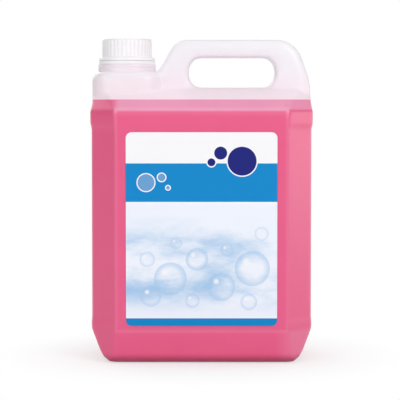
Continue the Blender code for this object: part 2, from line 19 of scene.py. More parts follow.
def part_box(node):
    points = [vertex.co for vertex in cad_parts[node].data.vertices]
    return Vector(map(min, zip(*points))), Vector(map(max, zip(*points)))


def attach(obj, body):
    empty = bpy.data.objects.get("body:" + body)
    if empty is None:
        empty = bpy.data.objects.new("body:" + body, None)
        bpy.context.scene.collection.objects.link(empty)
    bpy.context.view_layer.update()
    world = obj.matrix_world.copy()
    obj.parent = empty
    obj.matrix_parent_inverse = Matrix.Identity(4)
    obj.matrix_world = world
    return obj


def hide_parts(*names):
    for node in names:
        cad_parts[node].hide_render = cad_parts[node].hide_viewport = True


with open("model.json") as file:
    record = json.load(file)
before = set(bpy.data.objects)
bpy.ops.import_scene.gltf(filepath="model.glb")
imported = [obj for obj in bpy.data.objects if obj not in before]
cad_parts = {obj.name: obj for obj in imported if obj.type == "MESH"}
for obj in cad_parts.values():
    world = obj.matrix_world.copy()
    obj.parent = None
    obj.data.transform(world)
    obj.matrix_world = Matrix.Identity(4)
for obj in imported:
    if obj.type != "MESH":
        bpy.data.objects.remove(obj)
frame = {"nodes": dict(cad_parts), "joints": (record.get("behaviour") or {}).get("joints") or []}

LOG = logging.getLogger("refill_pack")
MM = 0.001
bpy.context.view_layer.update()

# How close counts as the same place, the same plane and the same way
NEAR = 0.1 * MM
MERGED = 0.001 * MM
PLANE_SLACK = 0.01 * MM
CUT_SLACK = 1e-6
SAME_WAY = 0.99999
FACING = 0.99
ROUGHLY_FACING = 0.9
# How far the middle of a small round edge is set in, as a share of the edge
EDGE_MIDDLE = 0.3

Colour = tuple[float, float, float]
BLACK: Colour = (0.0, 0.0, 0.0)
WHITE: Colour = (1.0, 1.0, 1.0)
# Where a soft step starts and ends
Span = tuple[float, float]
# The size of a round edge and its number of steps
Round = tuple[float, int]
# A noise's scale to a millimetre, its finer layers and how strong they are
Grain = tuple[float, ...]
# Three points on a flat wall
Wall = tuple[Vector, Vector, Vector]
PointTest = Callable[[Vector], bool]
EdgeTest = Callable[[Vector, Vector], bool]
FaceTest = Callable[[Vector, Vector], bool]


class Slot(Enum):
    """The record's material slots."""

    POLYETHYLENE = "natural_polyethylene"
    SOAP = "pink_soap"
    FILM = "label_film"
    POLYPROPYLENE = "white_polypropylene"
    FOAM = "white_foam"


class Body(Enum):
    """The bodies that the new pieces ride on."""

    CAN = "can"
    CLOSURE = "closure"


def linear(red: int, green: int, blue: int) -> Colour:
    """A colour given as screen values from 0 to 255, as the light values that a shader takes.

    Args:
        red: The red screen value.
        green: The green screen value.
        blue: The blue screen value.

    Returns:
        The three light values.
    """

    def decoded(value: int) -> float:
        """One screen value as a light value."""
        share = value / 255
        return share / 12.92 if share <= 0.04045 else ((share + 0.055) / 1.055) ** 2.4

    return decoded(red), decoded(green), decoded(blue)


class Form:
    """One mesh, shaped with Blender's operators. Used in a with statement, it is in edit mode inside it.

    Args:
        obj: The object that holds the mesh.
    """

    def __init__(self, obj: bpy.types.Object) -> None:
        """Takes hold of the object."""
        self.obj = obj

    @staticmethod
    def put_down() -> None:
        """Leaves edit mode and selects nothing."""
        if bpy.context.object and bpy.context.object.mode != "OBJECT":
            bpy.ops.object.mode_set(mode="OBJECT")
        bpy.ops.object.select_all(action="DESELECT")

    def pick_up(self) -> None:
        """Makes this the only selected object, and the active one."""
        self.put_down()
        self.obj.select_set(True)
        bpy.context.view_layer.objects.active = self.obj

    def __enter__(self) -> "Form":
        """Starts edit mode.

        Returns:
            This form.
        """
        self.pick_up()
        bpy.ops.object.mode_set(mode="EDIT")
        return self

    def __exit__(self, *problem: object) -> None:
        """Leaves edit mode."""
        bpy.ops.object.mode_set(mode="OBJECT")

    @classmethod
    def block(cls, name: str, low: Vector, high: Vector) -> "Form":
        """A cube primitive stretched between two corners.

        Args:
            name: The object's name.
            low: The lowest corner.
            high: The highest corner.

        Returns:
            The new form.
        """
        cls.put_down()
        bpy.ops.mesh.primitive_cube_add(size=1.0, location=(low + high) / 2)
        obj = bpy.context.object
        obj.name = name
        obj.scale = high - low
        bpy.ops.object.transform_apply(location=True, rotation=True, scale=True)
        return cls(obj)

    @classmethod
    def turned(cls, name: str, axis: Vector, profile: Sequence[tuple[float, float]], steps: int) -> "Form":
        """A round piece whose rim loop is extruded from point to point of a profile and closed at its ends.

        Args:
            name: The object's name.
            axis: A point on the piece's upright axis, from which the profile's heights count.
            profile: (radius, height) points that run round the section. A last point at the first one closes
                a ring, and otherwise both ends are capped with a disc.
            steps: How many sides the piece has.

        Returns:
            The new form.
        """
        cls.put_down()
        radius, height = profile[0]
        ringed = profile[0] == profile[-1]
        extrude = bpy.ops.mesh.extrude_edges_move if ringed else bpy.ops.mesh.extrude_region_move
        bpy.ops.mesh.primitive_circle_add(
            vertices=steps,
            radius=radius,
            fill_type="NOTHING" if ringed else "NGON",
            location=(axis.x, axis.y, axis.z + height),
        )
        bpy.context.object.name = name
        form = cls(bpy.context.object)
        bpy.ops.object.transform_apply(location=True, rotation=True, scale=True)
        with form:
            bpy.ops.mesh.select_mode(type="VERT")
            bpy.ops.mesh.select_all(action="SELECT")
            for next_radius, next_height in profile[1:]:
                extrude()
                bpy.ops.transform.translate(value=(0.0, 0.0, next_height - height))
                share = next_radius / radius
                bpy.ops.transform.resize(value=(share, share, 1.0), center_override=axis)
                radius, height = next_radius, next_height
            form.seal()
        return form

    def seal(self) -> None:
        """In edit mode, merges what lies in one place and turns the faces outwards."""
        bpy.ops.mesh.select_all(action="SELECT")
        bpy.ops.mesh.remove_doubles(threshold=MERGED)
        bpy.ops.mesh.normals_make_consistent(inside=False)

    def _pick(self, mode: str, parts: str, wanted: Callable[[object], bool]) -> None:
        """In edit mode, selects only the parts that pass a test.

        Args:
            mode: The selection mode, VERT, EDGE or FACE.
            parts: The mesh's own list that holds such parts.
            wanted: The test.

        Raises:
            ValueError: If nothing passes.
        """
        bpy.ops.mesh.select_mode(type=mode)
        bpy.ops.mesh.select_all(action="DESELECT")
        mesh = bmesh.from_edit_mesh(self.obj.data)
        mesh.normal_update()
        found = [part for part in getattr(mesh, parts) if wanted(part)]
        if not found:
            raise ValueError(f"{self.obj.name}: nothing to select")
        for part in found:
            part.select_set(True)
        mesh.select_flush_mode()
        bmesh.update_edit_mesh(self.obj.data)

    def pick_points(self, test: PointTest) -> None:
        """In edit mode, selects the points that pass a test on their place."""
        self._pick("VERT", "verts", lambda point: test(point.co))

    def pick_edges(self, test: EdgeTest) -> None:
        """In edit mode, selects the edges that pass a test on their two ends."""
        self._pick("EDGE", "edges", lambda edge: test(edge.verts[0].co, edge.verts[1].co))

    def pick_faces(self, test: FaceTest) -> None:
        """In edit mode, selects the faces that pass a test on their centre and normal."""
        self._pick("FACE", "faces", lambda face: test(face.calc_center_median(), face.normal))

    def cut_off(self, point: Vector, outward: Vector) -> None:
        """In edit mode, removes what lies past a plane and closes the cut.

        Args:
            point: A point on the plane.
            outward: The plane's normal, towards the side that goes.
        """
        bpy.ops.mesh.select_all(action="SELECT")
        bpy.ops.mesh.bisect(
            plane_co=point, plane_no=outward, use_fill=True, clear_outer=True, threshold=CUT_SLACK
        )

    def score(self, point: Vector, normal: Vector) -> None:
        """In edit mode, adds a loop of edges where a plane meets the mesh."""
        bpy.ops.mesh.select_all(action="SELECT")
        bpy.ops.mesh.bisect(plane_co=point, plane_no=normal, threshold=CUT_SLACK)

    def round_off(self, offset: float, segments: int) -> None:
        """In edit mode, rounds the selected edges."""
        bpy.ops.mesh.bevel(offset=offset, segments=segments, affect="EDGES", clamp_overlap=True)

    def shift(self, x: float = 0.0, y: float = 0.0, z: float = 0.0) -> None:
        """Moves what is selected."""
        bpy.ops.transform.translate(value=(x, y, z))

    def finish(self, kind: str, **settings: object) -> "Form":
        """Adds a modifier and applies it.

        Args:
            kind: The modifier's type.
            settings: Its settings.

        Returns:
            This form.
        """
        self.pick_up()
        modifier = self.obj.modifiers.new(kind.title(), kind)
        for key, value in settings.items():
            setattr(modifier, key, value)
        bpy.ops.object.modifier_apply(modifier=modifier.name)
        return self

    def cut_out(self, other: "Form") -> "Form":
        """Takes another form's space out of this one, and removes the other.

        Args:
            other: The form that cuts.

        Returns:
            This form.
        """
        self.finish("BOOLEAN", operation="DIFFERENCE", solver="EXACT", object=other.obj)
        bpy.data.objects.remove(other.obj)
        return self

    def take_in(self, *others: "Form") -> "Form":
        """Joins other forms into this one.

        Args:
            others: The forms that go.

        Returns:
            This form.
        """
        self.pick_up()
        for other in others:
            other.obj.select_set(True)
        bpy.ops.object.join()
        return self

    def smooth(self, sharp_angle: float) -> "Form":
        """Shades the mesh smooth, but for edges sharper than an angle.

        Args:
            sharp_angle: The angle in radians.

        Returns:
            This form.
        """
        self.pick_up()
        bpy.ops.object.shade_smooth_by_angle(angle=sharp_angle)
        return self

    def dress(self, finish: "Finish", body: Body, slot: Slot, *nodes: str) -> bpy.types.Object:
        """Gives the piece its material, the body that it rides on and the solids that it stands for.

        Args:
            finish: The finish of the whole piece.
            body: The body that it rides on.
            slot: The record's slot that its finish belongs to. Not used.
            nodes: The solids that it stands for.

        Returns:
            The finished piece.
        """
        self.obj.data.materials.clear()
        self.obj.data.materials.append(finish.material())
        self.obj.data.name = self.obj.name
        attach(self.obj, body.value)
        if nodes:
            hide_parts(*nodes)
        LOG.info("%s: %d faces, rides on %s", self.obj.name, len(self.obj.data.polygons), body.value)
        return self.obj


class Signal:
    """A value on its way through a material's nodes, with Python's operators.

    Args:
        board: The material's board of nodes.
        socket: The output socket that gives the value.
    """

    def __init__(self, board: "Board", socket: bpy.types.NodeSocket) -> None:
        """Takes hold of the socket."""
        self.board = board
        self.socket = socket

    def __add__(self, other: "Signal | float") -> "Signal":
        """The sum of two values."""
        return self.board.maths("ADD", self, other)

    def __radd__(self, other: float) -> "Signal":
        """The sum of a number and this value."""
        return self.board.maths("ADD", other, self)

    def __sub__(self, other: "Signal | float") -> "Signal":
        """This value less another."""
        return self.board.maths("SUBTRACT", self, other)

    def __rsub__(self, other: float) -> "Signal":
        """A number less this value."""
        return self.board.maths("SUBTRACT", other, self)

    def __mul__(self, other: "Signal | float") -> "Signal":
        """The product of two values."""
        return self.board.maths("MULTIPLY", self, other)

    def __rmul__(self, other: float) -> "Signal":
        """The product of a number and this value."""
        return self.board.maths("MULTIPLY", other, self)

    def __pow__(self, other: float) -> "Signal":
        """This value to a power."""
        return self.board.maths("POWER", self, other)

    def __abs__(self) -> "Signal":
        """This value without its sign."""
        return self.board.maths("ABSOLUTE", self)

    def at_most(self, other: "Signal | float") -> "Signal":
        """The lower of two values."""
        return self.board.maths("MINIMUM", self, other)

    def at_least(self, other: "Signal | float") -> "Signal":
        """The higher of two values."""
        return self.board.maths("MAXIMUM", self, other)

    def rising(self, low: float, high: float) -> "Signal":
        """0 up to the low value and 1 from the high one, with a soft step between them.

        Args:
            low: Where the step starts.
            high: Where it ends.

        Returns:
            The step's value.
        """
        return self.board.node(
            "MapRange",
            {"interpolation_type": "SMOOTHSTEP", "clamp": True},
            {"Value": self, "From Min": low, "From Max": high, "To Min": 0.0, "To Max": 1.0},
        )

    def falling(self, low: float, high: float) -> "Signal":
        """1 up to the low value and 0 from the high one, with a soft step between them."""
        return 1 - self.rising(low, high)

    def swing(self, width: float) -> "Signal":
        """Noise round 0.5 as a swing of a given width round 0."""
        return width * (self - 0.5)


class Board:
    """The nodes of a new material or world.

    Args:
        made: The new material or world.
    """

    def __init__(self, made: bpy.types.Material | bpy.types.World) -> None:
        """Starts the nodes and finds the surface shader."""
        self.made = made
        self.made.use_nodes = True
        self.tree = self.made.node_tree
        outputs = ("OUTPUT_MATERIAL", "OUTPUT_WORLD")
        self.output = next(node for node in self.tree.nodes if node.type in outputs)
        self.shader = self.output.inputs["Surface"].links[0].from_node

    @classmethod
    def material(cls, name: str) -> "Board":
        """The board of a new material."""
        return cls(bpy.data.materials.new(name))

    def node(
        self, kind: str, settings: dict | None = None, inputs: dict | None = None, output: int | str = 0
    ) -> Signal:
        """Any shader node.

        Args:
            kind: The node's type, without the words ShaderNode.
            settings: Its own settings, which are set first.
            inputs: The value or signal of each input socket, by name or number.
            output: The output socket to give back, by name or number.

        Returns:
            The output as a signal.
        """
        made = self.tree.nodes.new("ShaderNode" + kind)
        for key, value in (settings or {}).items():
            setattr(made, key, value)
        for key, value in (inputs or {}).items():
            self.feed(made.inputs[key], value)
        return Signal(self, made.outputs[output])

    def feed(self, socket: bpy.types.NodeSocket, value: "Signal | float | Sequence[float]") -> None:
        """Links a signal to a socket, or sets the socket's own value.

        Args:
            socket: The input socket.
            value: The signal, the number, or the colour or vector as three numbers.
        """
        if isinstance(value, Signal):
            self.tree.links.new(value.socket, socket)
        elif socket.type == "RGBA":
            socket.default_value = (*value, 1.0)
        else:
            socket.default_value = value

    def maths(self, operation: str, *values: Signal | float) -> Signal:
        """A sum on values, by the Math node's own name for it."""
        return self.node("Math", {"operation": operation}, dict(enumerate(values)))

    def mixed(self, share: Signal | float, first: Signal | Colour, second: Signal | Colour) -> Signal:
        """A colour a share of the way from the first to the second.

        Args:
            share: How much of the second there is, from 0 to 1.
            first: The colour at 0.
            second: The colour at 1.

        Returns:
            The mixed colour.
        """
        settings = {"data_type": "RGBA", "blend_type": "MIX", "clamp_factor": True}
        return self.node("Mix", settings, {0: share, 6: first, 7: second}, 2)

    def place(self) -> tuple[Signal, Signal, Signal, Signal]:
        """The point on the piece in millimetres.

        Returns:
            The point as a vector, and its x, y and z.
        """
        metres = self.node("TexCoord", output="Object")
        point = self.node("VectorMath", {"operation": "SCALE"}, {0: metres, "Scale": 1 / MM})
        return point, *(self.node("SeparateXYZ", None, {0: point}, axis) for axis in range(3))

    def noise(self, point: Signal, scale: float, detail: float = 2.0, roughness: float = 0.5) -> Signal:
        """Cloudy noise round 0.5.

        Args:
            point: Where it is read.
            scale: How many clouds there are to a unit of the point.
            detail: How many finer layers it has.
            roughness: How strong the finer layers are.

        Returns:
            The noise.
        """
        inputs = {"Vector": point, "Scale": scale, "Detail": detail, "Roughness": roughness}
        return self.node("TexNoise", None, inputs, "Fac")

    def bumped(self, height: Signal, distance: float, strength: float = 1.0) -> Signal:
        """A normal bent by a height from 0 to 1.

        Args:
            height: The height.
            distance: What a height of 1 measures, in metres.
            strength: How much of it shows.

        Returns:
            The normal.
        """
        return self.node("Bump", None, {"Strength": strength, "Distance": distance, "Height": height})

    def whitened(self, share: "Signal | float", kind: str, *paths: str) -> None:
        """Mixes a plain white shader over the surface, for some kinds of rays alone.

        Args:
            share: How much of the white there is.
            kind: The white shader's node type.
            paths: The rays that see it, by the names of the Light Path node's outputs.
        """
        seen = self.node("LightPath", output=paths[0])
        for path in paths[1:]:
            seen = seen.at_least(self.node("LightPath", output=path))
        white = self.node(kind, None, {"Color": WHITE})
        surface = Signal(self, self.shader.outputs[0])
        both = self.node("MixShader", None, {0: seen * share, 1: surface, 2: white})
        self.feed(self.output.inputs["Surface"], both)

    def paint(self, **inputs: "Signal | float | Sequence[float]") -> bpy.types.Material | bpy.types.World:
        """Feeds the surface shader and gives what it was made for.

        Args:
            inputs: The shader's sockets in small letters, with _ for a space.

        Returns:
            The material or the world.
        """
        names = {socket.name.lower().replace(" ", "_"): socket for socket in self.shader.inputs}
        for key, value in inputs.items():
            self.feed(names[key], value)
        return self.made


class Finish:
    """What every finish can do."""

    def material(self) -> bpy.types.Material:
        """Paints the finish and gives its new material."""
        raise NotImplementedError


@dataclass(frozen=True)
class MilkyPolyethylene(Finish):
    """Natural polyethylene: milky and see-through, and wetted by the soap below its level.

    Lengths are in millimetres.

    Args:
        name: The material's name.
        level: How high the soap stands.
        seam: Where along Y the mould's two halves met.
        panel_bottom: How high the front panel starts.
        panel_top: How high it ends and the shoulder starts.
    """

    name: str
    level: float
    seam: float
    panel_bottom: float
    panel_top: float
    dry_colour: Colour = linear(248, 246, 251)
    # Painted glow: pink light that the soap scatters up through the plastic over its level
    glow_colour: Colour = linear(252, 232, 241)
    # Painted highlight: a bright line just over the soap's level
    level_highlight_colour: Colour = linear(255, 232, 242)
    wet_colour: Colour = linear(244, 98, 145)
    # Painted light: the shoulder faces up to the lamps, and has thinner soap behind it
    shoulder_light_colour: Colour = linear(253, 160, 198)
    # Painted highlights along the creases, also used for the painted light at the lower right end
    crease_highlight_colour: Colour = linear(255, 182, 212)
    # Painted shade towards the floor
    foot_shade_colour: Colour = linear(172, 50, 88)
    # Painted glow: a faint emission over the soap's level, for light scattered up from the soap
    inner_light: Colour = linear(255, 226, 238)
    inner_strength: float = 0.035
    dry_opacity: float = 0.9
    wet_opacity: float = 0.82
    thick_colour: Colour = linear(245, 235, 242)
    thick_opacity: float = 0.96
    cloud_opacity: float = 0.06
    wet_step: Span = (-0.3, 0.5)
    # Where the painted highlight line over the soap's level lies
    level_highlight_height: float = 0.78
    level_highlight_step: Span = (0.52, 1.3)
    # How high the painted glow reaches, and how faint it gets
    glow_height: float = 34.0
    glow_least: float = 0.55
    panel_half_width: float = 74.3
    panel_front: Span = (44.0, 45.0)
    # The width, strength and reach of the painted crease highlights
    crease_width: float = 2.6
    crease_least: float = 0.14
    crease_gain: float = 0.56
    crease_gain_step: Span = (217.0, 220.5)
    end_crease: float = 35.5
    end_crease_step: Span = (0.5, 3.5)
    end_crease_top: Span = (205.0, 225.0)
    end_crease_strength: float = 0.35
    end_face: Span = (90.0, 95.0)
    # Where the painted light on the shoulder, under it and at the right end lies
    shoulder_step: Span = (-1.5, 1.0)
    roof_end: Span = (70.0, 79.0)
    under_roof_height: float = 8.0
    under_roof_end: Span = (72.0, 76.0)
    under_roof_strength: float = 0.25
    handle_end_light: Span = (72.0, 78.0)
    handle_end_light_strength: float = 0.85
    # How high the painted shade towards the floor reaches
    foot_shade_height: float = 10.0
    # Painted light at the lower right end
    foot_end_light: Span = (62.0, 80.0)
    foot_end_light_step: Span = (-3.0, 3.0)
    foot_end_light_strength: float = 0.2
    clouds: Grain = (0.035, 3.0)
    scuffs: Grain = (0.9, 4.0, 0.6)
    scuff_stretch: tuple[float, float, float] = (1.0, 1.0, 0.12)
    peel: Grain = (0.55, 2.0)
    waves: Grain = (0.03, 1.0)
    seam_step: Span = (0.12, 0.4)
    peel_relief: float = 0.22
    wave_relief: float = 0.5
    seam_relief: float = 0.6
    relief_depth: float = 0.25 * MM
    relief_strength: float = 0.6
    roughness: float = 0.36
    scuff_roughness: float = 0.1
    cloud_roughness: float = 0.08
    refraction: float = 1.5

    def thicker(self, name: str) -> "MilkyPolyethylene":
        """The same plastic in the thicker wall of a neck, which lets less light through."""
        return replace(self, name=name, dry_colour=self.thick_colour, dry_opacity=self.thick_opacity)

    def _crease_highlights(self, x: Signal, y: Signal, z: Signal) -> Signal:
        """Painted highlights along the body's creases: strongest at the shoulder, which faces the light from
        above, weakest at the base.

        Args:
            x: How far a point is along the body.
            y: How far it is from the seam.
            z: Its height.

        Returns:
            The painted highlight, from 0 to 1.
        """
        middle = (self.panel_top + self.panel_bottom) / 2
        outside = (abs(x) - self.panel_half_width).at_least(abs(z - middle) - (self.panel_top - middle))
        round_panel = abs(outside).falling(0.0, self.crease_width) * abs(y).rising(*self.panel_front)
        strength = self.crease_least + self.crease_gain * z.rising(*self.crease_gain_step)
        ends = abs(abs(y) - self.end_crease).falling(*self.end_crease_step) * abs(x).rising(*self.end_face)
        return round_panel * strength + ends * z.falling(*self.end_crease_top) * self.end_crease_strength

    def _shoulder_light(self, x: Signal, z: Signal) -> Signal:
        """Painted light on the wet plastic: paler on the shoulder, which faces up to the lamps and has
        thinner soap behind it, a little just below it, and more at the right end, where the light falls from
        the right.

        Args:
            x: How far a point is along the body.
            z: Its height.

        Returns:
            The share of the painted shoulder light, from 0 to 1.
        """
        past_panel = z - self.panel_top
        shoulder = past_panel.rising(*self.shoulder_step)
        roof = shoulder * abs(x).falling(*self.roof_end)
        under_roof = past_panel.rising(-self.under_roof_height, 0.0) * abs(x).falling(*self.under_roof_end)
        # Painted light at the right end of the shoulder, where the light falls from the right
        handle_end_light = shoulder * x.rising(*self.handle_end_light) * self.handle_end_light_strength
        return roof + under_roof * self.under_roof_strength * (1 - roof) + handle_end_light

    def _soaked(self, board: Board, x: Signal, y: Signal, z: Signal) -> Signal:
        """The colour of the plastic that the soap wets, with painted light on the shoulder, the creases and
        the lower right end, and painted shade towards the floor.

        Args:
            board: The material's board.
            x: How far a point is along the body.
            y: How far it is from the seam.
            z: Its height.

        Returns:
            The colour.
        """
        # Painted light on the shoulder
        colour = board.mixed(self._shoulder_light(x, z), self.wet_colour, self.shoulder_light_colour)
        # Painted highlights along the creases
        colour = board.mixed(self._crease_highlights(x, y, z), colour, self.crease_highlight_colour)
        # Painted light: the lower right end is lighter, where the key light falls from the right
        foot_end_light = (z - self.panel_bottom).falling(*self.foot_end_light_step) * x.rising(*self.foot_end_light)
        colour = board.mixed(foot_end_light * self.foot_end_light_strength, colour, self.crease_highlight_colour)
        # Painted shade: darker towards the floor
        return board.mixed(z.falling(0.0, self.foot_shade_height), colour, self.foot_shade_colour)

    def material(self) -> bpy.types.Material:
        """Paints the plastic, dry above the soap's level and wet below it, with a painted pink glow and a
        painted highlight line just over the level.

        Returns:
            The new material.
        """
        board = Board.material(self.name)
        point, x, y, z = board.place()
        y = y - self.seam
        above = z - self.level
        wet = above.falling(*self.wet_step)
        # Painted highlight: a bright line just over the soap's level
        level_highlight = abs(above - self.level_highlight_height).falling(*self.level_highlight_step)
        # Painted glow: pink light from the soap, strongest just over its level
        glow = above.falling(0.0, self.glow_height)
        clouds = board.noise(point, *self.clouds)
        glowing = glow * (self.glow_least + (1 - self.glow_least) * clouds)
        dry = board.mixed(level_highlight, board.mixed(glowing, self.dry_colour, self.glow_colour), self.level_highlight_colour)
        opacity = self.dry_opacity + wet * (self.wet_opacity - self.dry_opacity)
        stretched = board.node("Mapping", None, {"Vector": point, "Scale": self.scuff_stretch})
        scuffs = board.noise(stretched, *self.scuffs)
        relief = board.noise(point, *self.peel) * self.peel_relief
        relief = relief + board.noise(point, *self.waves) * self.wave_relief
        relief = relief + abs(y).falling(*self.seam_step) * self.seam_relief
        roughness = self.roughness + scuffs.swing(self.scuff_roughness) + clouds.swing(self.cloud_roughness)
        return board.paint(
            base_color=board.mixed(wet, dry, self._soaked(board, x, y, z)),
            alpha=(opacity + clouds.swing(self.cloud_opacity)).at_most(1.0),
            roughness=roughness,
            # Painted glow: faint light given off over the soap's level
            emission_color=board.mixed(glow * (1 - wet), BLACK, self.inner_light),
            emission_strength=self.inner_strength,
            ior=self.refraction,
            normal=board.bumped(relief, self.relief_depth, self.relief_strength),
        )


@dataclass(frozen=True)
class LiquidSoap(Finish):
    """Clear pink soap, with a paler skin of light where it meets the air. Lengths are in millimetres.

    Args:
        level: How high the soap stands.
    """

    level: float
    # Painted shade low down and painted light high up, as the light falls in from above
    shaded_low_colour: Colour = linear(222, 60, 112)
    lit_top_colour: Colour = linear(240, 80, 132)
    surface_colour: Colour = linear(247, 150, 186)
    surface_step: Span = (-0.8, -0.2)
    swirls: Grain = (0.012, 2.0)
    swirl_share: float = 0.3
    roughness: float = 0.3
    swirl_roughness: float = 0.1
    refraction: float = 1.36

    def material(self) -> bpy.types.Material:
        """Paints the soap, darker towards the base and lighter towards the top: painted shade and light, as
        the light falls in from above.

        Returns:
            The new material.
        """
        board = Board.material("pink_soap")
        point, _, _, z = board.place()
        swirls = board.noise(point, *self.swirls)
        height = (z.rising(0.0, self.level) + swirls.swing(self.swirl_share)).at_most(1.0)
        # Painted shade low down and painted light high up
        colour = board.mixed(height, self.shaded_low_colour, self.lit_top_colour)
        colour = board.mixed((z - self.level).rising(*self.surface_step), colour, self.surface_colour)
        roughness = self.roughness + swirls.swing(self.swirl_roughness)
        return board.paint(base_color=colour, roughness=roughness, ior=self.refraction)


@dataclass(frozen=True)
class Bubble:
    """One printed bubble, in millimetres from the label's middle and bottom edge."""

    x: float
    z: float
    radius: float
    strength: float = 1.0


@dataclass(frozen=True)
class PrintedFilm(Finish):
    """The label's print: fields of colour with soft bubbles. Lengths are in millimetres.

    Args:
        middle: The x of the label's middle.
        bottom: The z of its bottom edge.
    """

    middle: float
    bottom: float
    strip_height: float = 6.7
    band_bottom: float = 107.8
    band_top: float = 141.1
    white_line: float = 1.1
    edge: float = 0.12
    ground: Colour = linear(244, 244, 246)
    band_colour: Colour = linear(2, 134, 200)
    strip_colour: Colour = linear(3, 131, 196)
    pale_colour: Colour = linear(236, 241, 250)
    wash_colour: Colour = linear(160, 197, 231)
    dark_colour: Colour = linear(24, 33, 120)
    wash: Grain = (0.026, 5.0, 0.6)
    wash_turn: tuple[float, float, float] = (0.0, -0.5, 0.0)
    wash_stretch: tuple[float, float, float] = (0.6, 1.0, 1.5)
    wash_step: Span = (0.36, 0.7)
    wash_bottom: Span = (6.7, 34.0)
    wash_top: Span = (66.0, 99.8)
    drift: Grain = (0.012, 1.0)
    drift_share: float = 0.12
    bubbles: tuple[Bubble, ...] = (
        Bubble(-44, 26, 9.0, 0.8),
        Bubble(-27, 41, 14.0),
        Bubble(-47, 58, 6.5, 0.7),
        Bubble(-8, 22, 6.0, 0.8),
        Bubble(-4, 58, 9.5),
        Bubble(17, 34, 12.0, 0.9),
        Bubble(41, 21, 7.0, 0.8),
        Bubble(44, 50, 15.0),
        Bubble(22, 66, 5.5, 0.7),
        Bubble(-22, 72, 5.0, 0.6),
        Bubble(52, 80, 6.0, 0.6),
    )
    rim_start: float = 0.55
    rim_edge: float = 0.5
    rim_strength: float = 0.55
    shine_left: float = 0.36
    shine_up: float = 0.4
    shine_step: Span = (0.08, 0.3)
    shine_strength: float = 0.8
    dark_bubbles: tuple[Bubble, ...] = (
        Bubble(35, 143, 12.5),
        Bubble(16.5, 150, 5.6),
        Bubble(8.5, 142, 3.4),
    )
    dark_margin: float = 1.0
    ring_bubbles: tuple[Bubble, ...] = (
        Bubble(-48, 124.5, 8.2),
        Bubble(-34.5, 129, 4.2),
        Bubble(-29, 120, 2.5),
    )
    ring_width: float = 0.9
    ring_filling: float = 0.16
    grain: Grain = (1.6, 2.0)
    grain_roughness: float = 0.08
    wave_relief: float = 2.0
    waves: Grain = (0.02, 1.0)
    relief_depth: float = 0.05 * MM
    relief_strength: float = 0.4
    roughness: float = 0.42
    gloss: float = 0.2

    def _away(self, x: Signal, z: Signal, bubble: Bubble) -> Signal:
        """How far a point of the print is from a bubble's middle."""
        return ((x - bubble.x) ** 2.0 + (z - bubble.z) ** 2.0) ** 0.5

    def _disc(self, x: Signal, z: Signal, bubble: Bubble, margin: float = 0.0) -> Signal:
        """1 inside a bubble grown by a margin, and 0 outside."""
        radius = bubble.radius + margin
        return self._away(x, z, bubble).falling(radius - self.edge, radius + self.edge)

    def _zone(self, z: Signal, low: float, high: float) -> Signal:
        """1 between two heights, and 0 elsewhere."""
        return z.rising(low - self.edge, low + self.edge) * z.falling(high - self.edge, high + self.edge)

    def _washed(self, board: Board, point: Signal, x: Signal, z: Signal) -> Signal:
        """The pale field: a blue wash with soft bubbles, each a rim that fades inwards and a small shine.

        Args:
            board: The material's board.
            point: The point on the label.
            x: How far it is from the label's middle.
            z: Its height over the label's bottom.

        Returns:
            The field's colour.
        """
        streaks = {"Vector": point, "Rotation": self.wash_turn, "Scale": self.wash_stretch}
        wash = board.noise(board.node("Mapping", None, streaks), *self.wash)
        wash = wash + board.noise(point, *self.drift).swing(self.drift_share)
        fade = z.rising(*self.wash_bottom) * z.falling(*self.wash_top)
        colour = board.mixed(wash.rising(*self.wash_step) * fade, self.pale_colour, self.wash_colour)
        for bubble in self.bubbles:
            size = bubble.radius
            away = self._away(x, z, bubble)
            rim = away.rising(self.rim_start * size, size) * away.falling(size, size + self.rim_edge)
            colour = board.mixed(rim * self.rim_strength * bubble.strength, colour, self.wash_colour)
            spot = Bubble(bubble.x - self.shine_left * size, bubble.z + self.shine_up * size, size)
            shine = self._away(x, z, spot).falling(*(share * size for share in self.shine_step))
            colour = board.mixed(shine * self.shine_strength, colour, self.ground)
        return colour

    def material(self) -> bpy.types.Material:
        """Prints the label from its bottom strip up to its white top, and the solid bubbles over the band.

        Returns:
            The new material.
        """
        board = Board.material("label_film")
        point, x, _, z = board.place()
        x = x - self.middle
        z = z - self.bottom
        field_zone = self._zone(z, self.strip_height, self.band_bottom - self.white_line)
        colour = board.mixed(field_zone, self.ground, self._washed(board, point, x, z))
        colour = board.mixed(self._zone(z, self.band_bottom, self.band_top), colour, self.band_colour)
        strip = z.falling(self.strip_height - self.edge, self.strip_height + self.edge)
        colour = board.mixed(strip, colour, self.strip_colour)
        for bubble in self.dark_bubbles:
            colour = board.mixed(self._disc(x, z, bubble, self.dark_margin), colour, self.ground)
        for bubble in self.dark_bubbles:
            colour = board.mixed(self._disc(x, z, bubble), colour, self.dark_colour)
        for bubble in self.ring_bubbles:
            disc = self._disc(x, z, bubble)
            ring = disc * (1 - self._disc(x, z, bubble, -self.ring_width))
            colour = board.mixed(ring + self.ring_filling * disc, colour, self.ground)
        grain = board.noise(point, *self.grain)
        relief = grain + self.wave_relief * board.noise(point, *self.waves)
        return board.paint(
            base_color=colour,
            roughness=self.roughness + grain.swing(self.grain_roughness),
            specular_ior_level=self.gloss,
            normal=board.bumped(relief, self.relief_depth, self.relief_strength),
        )


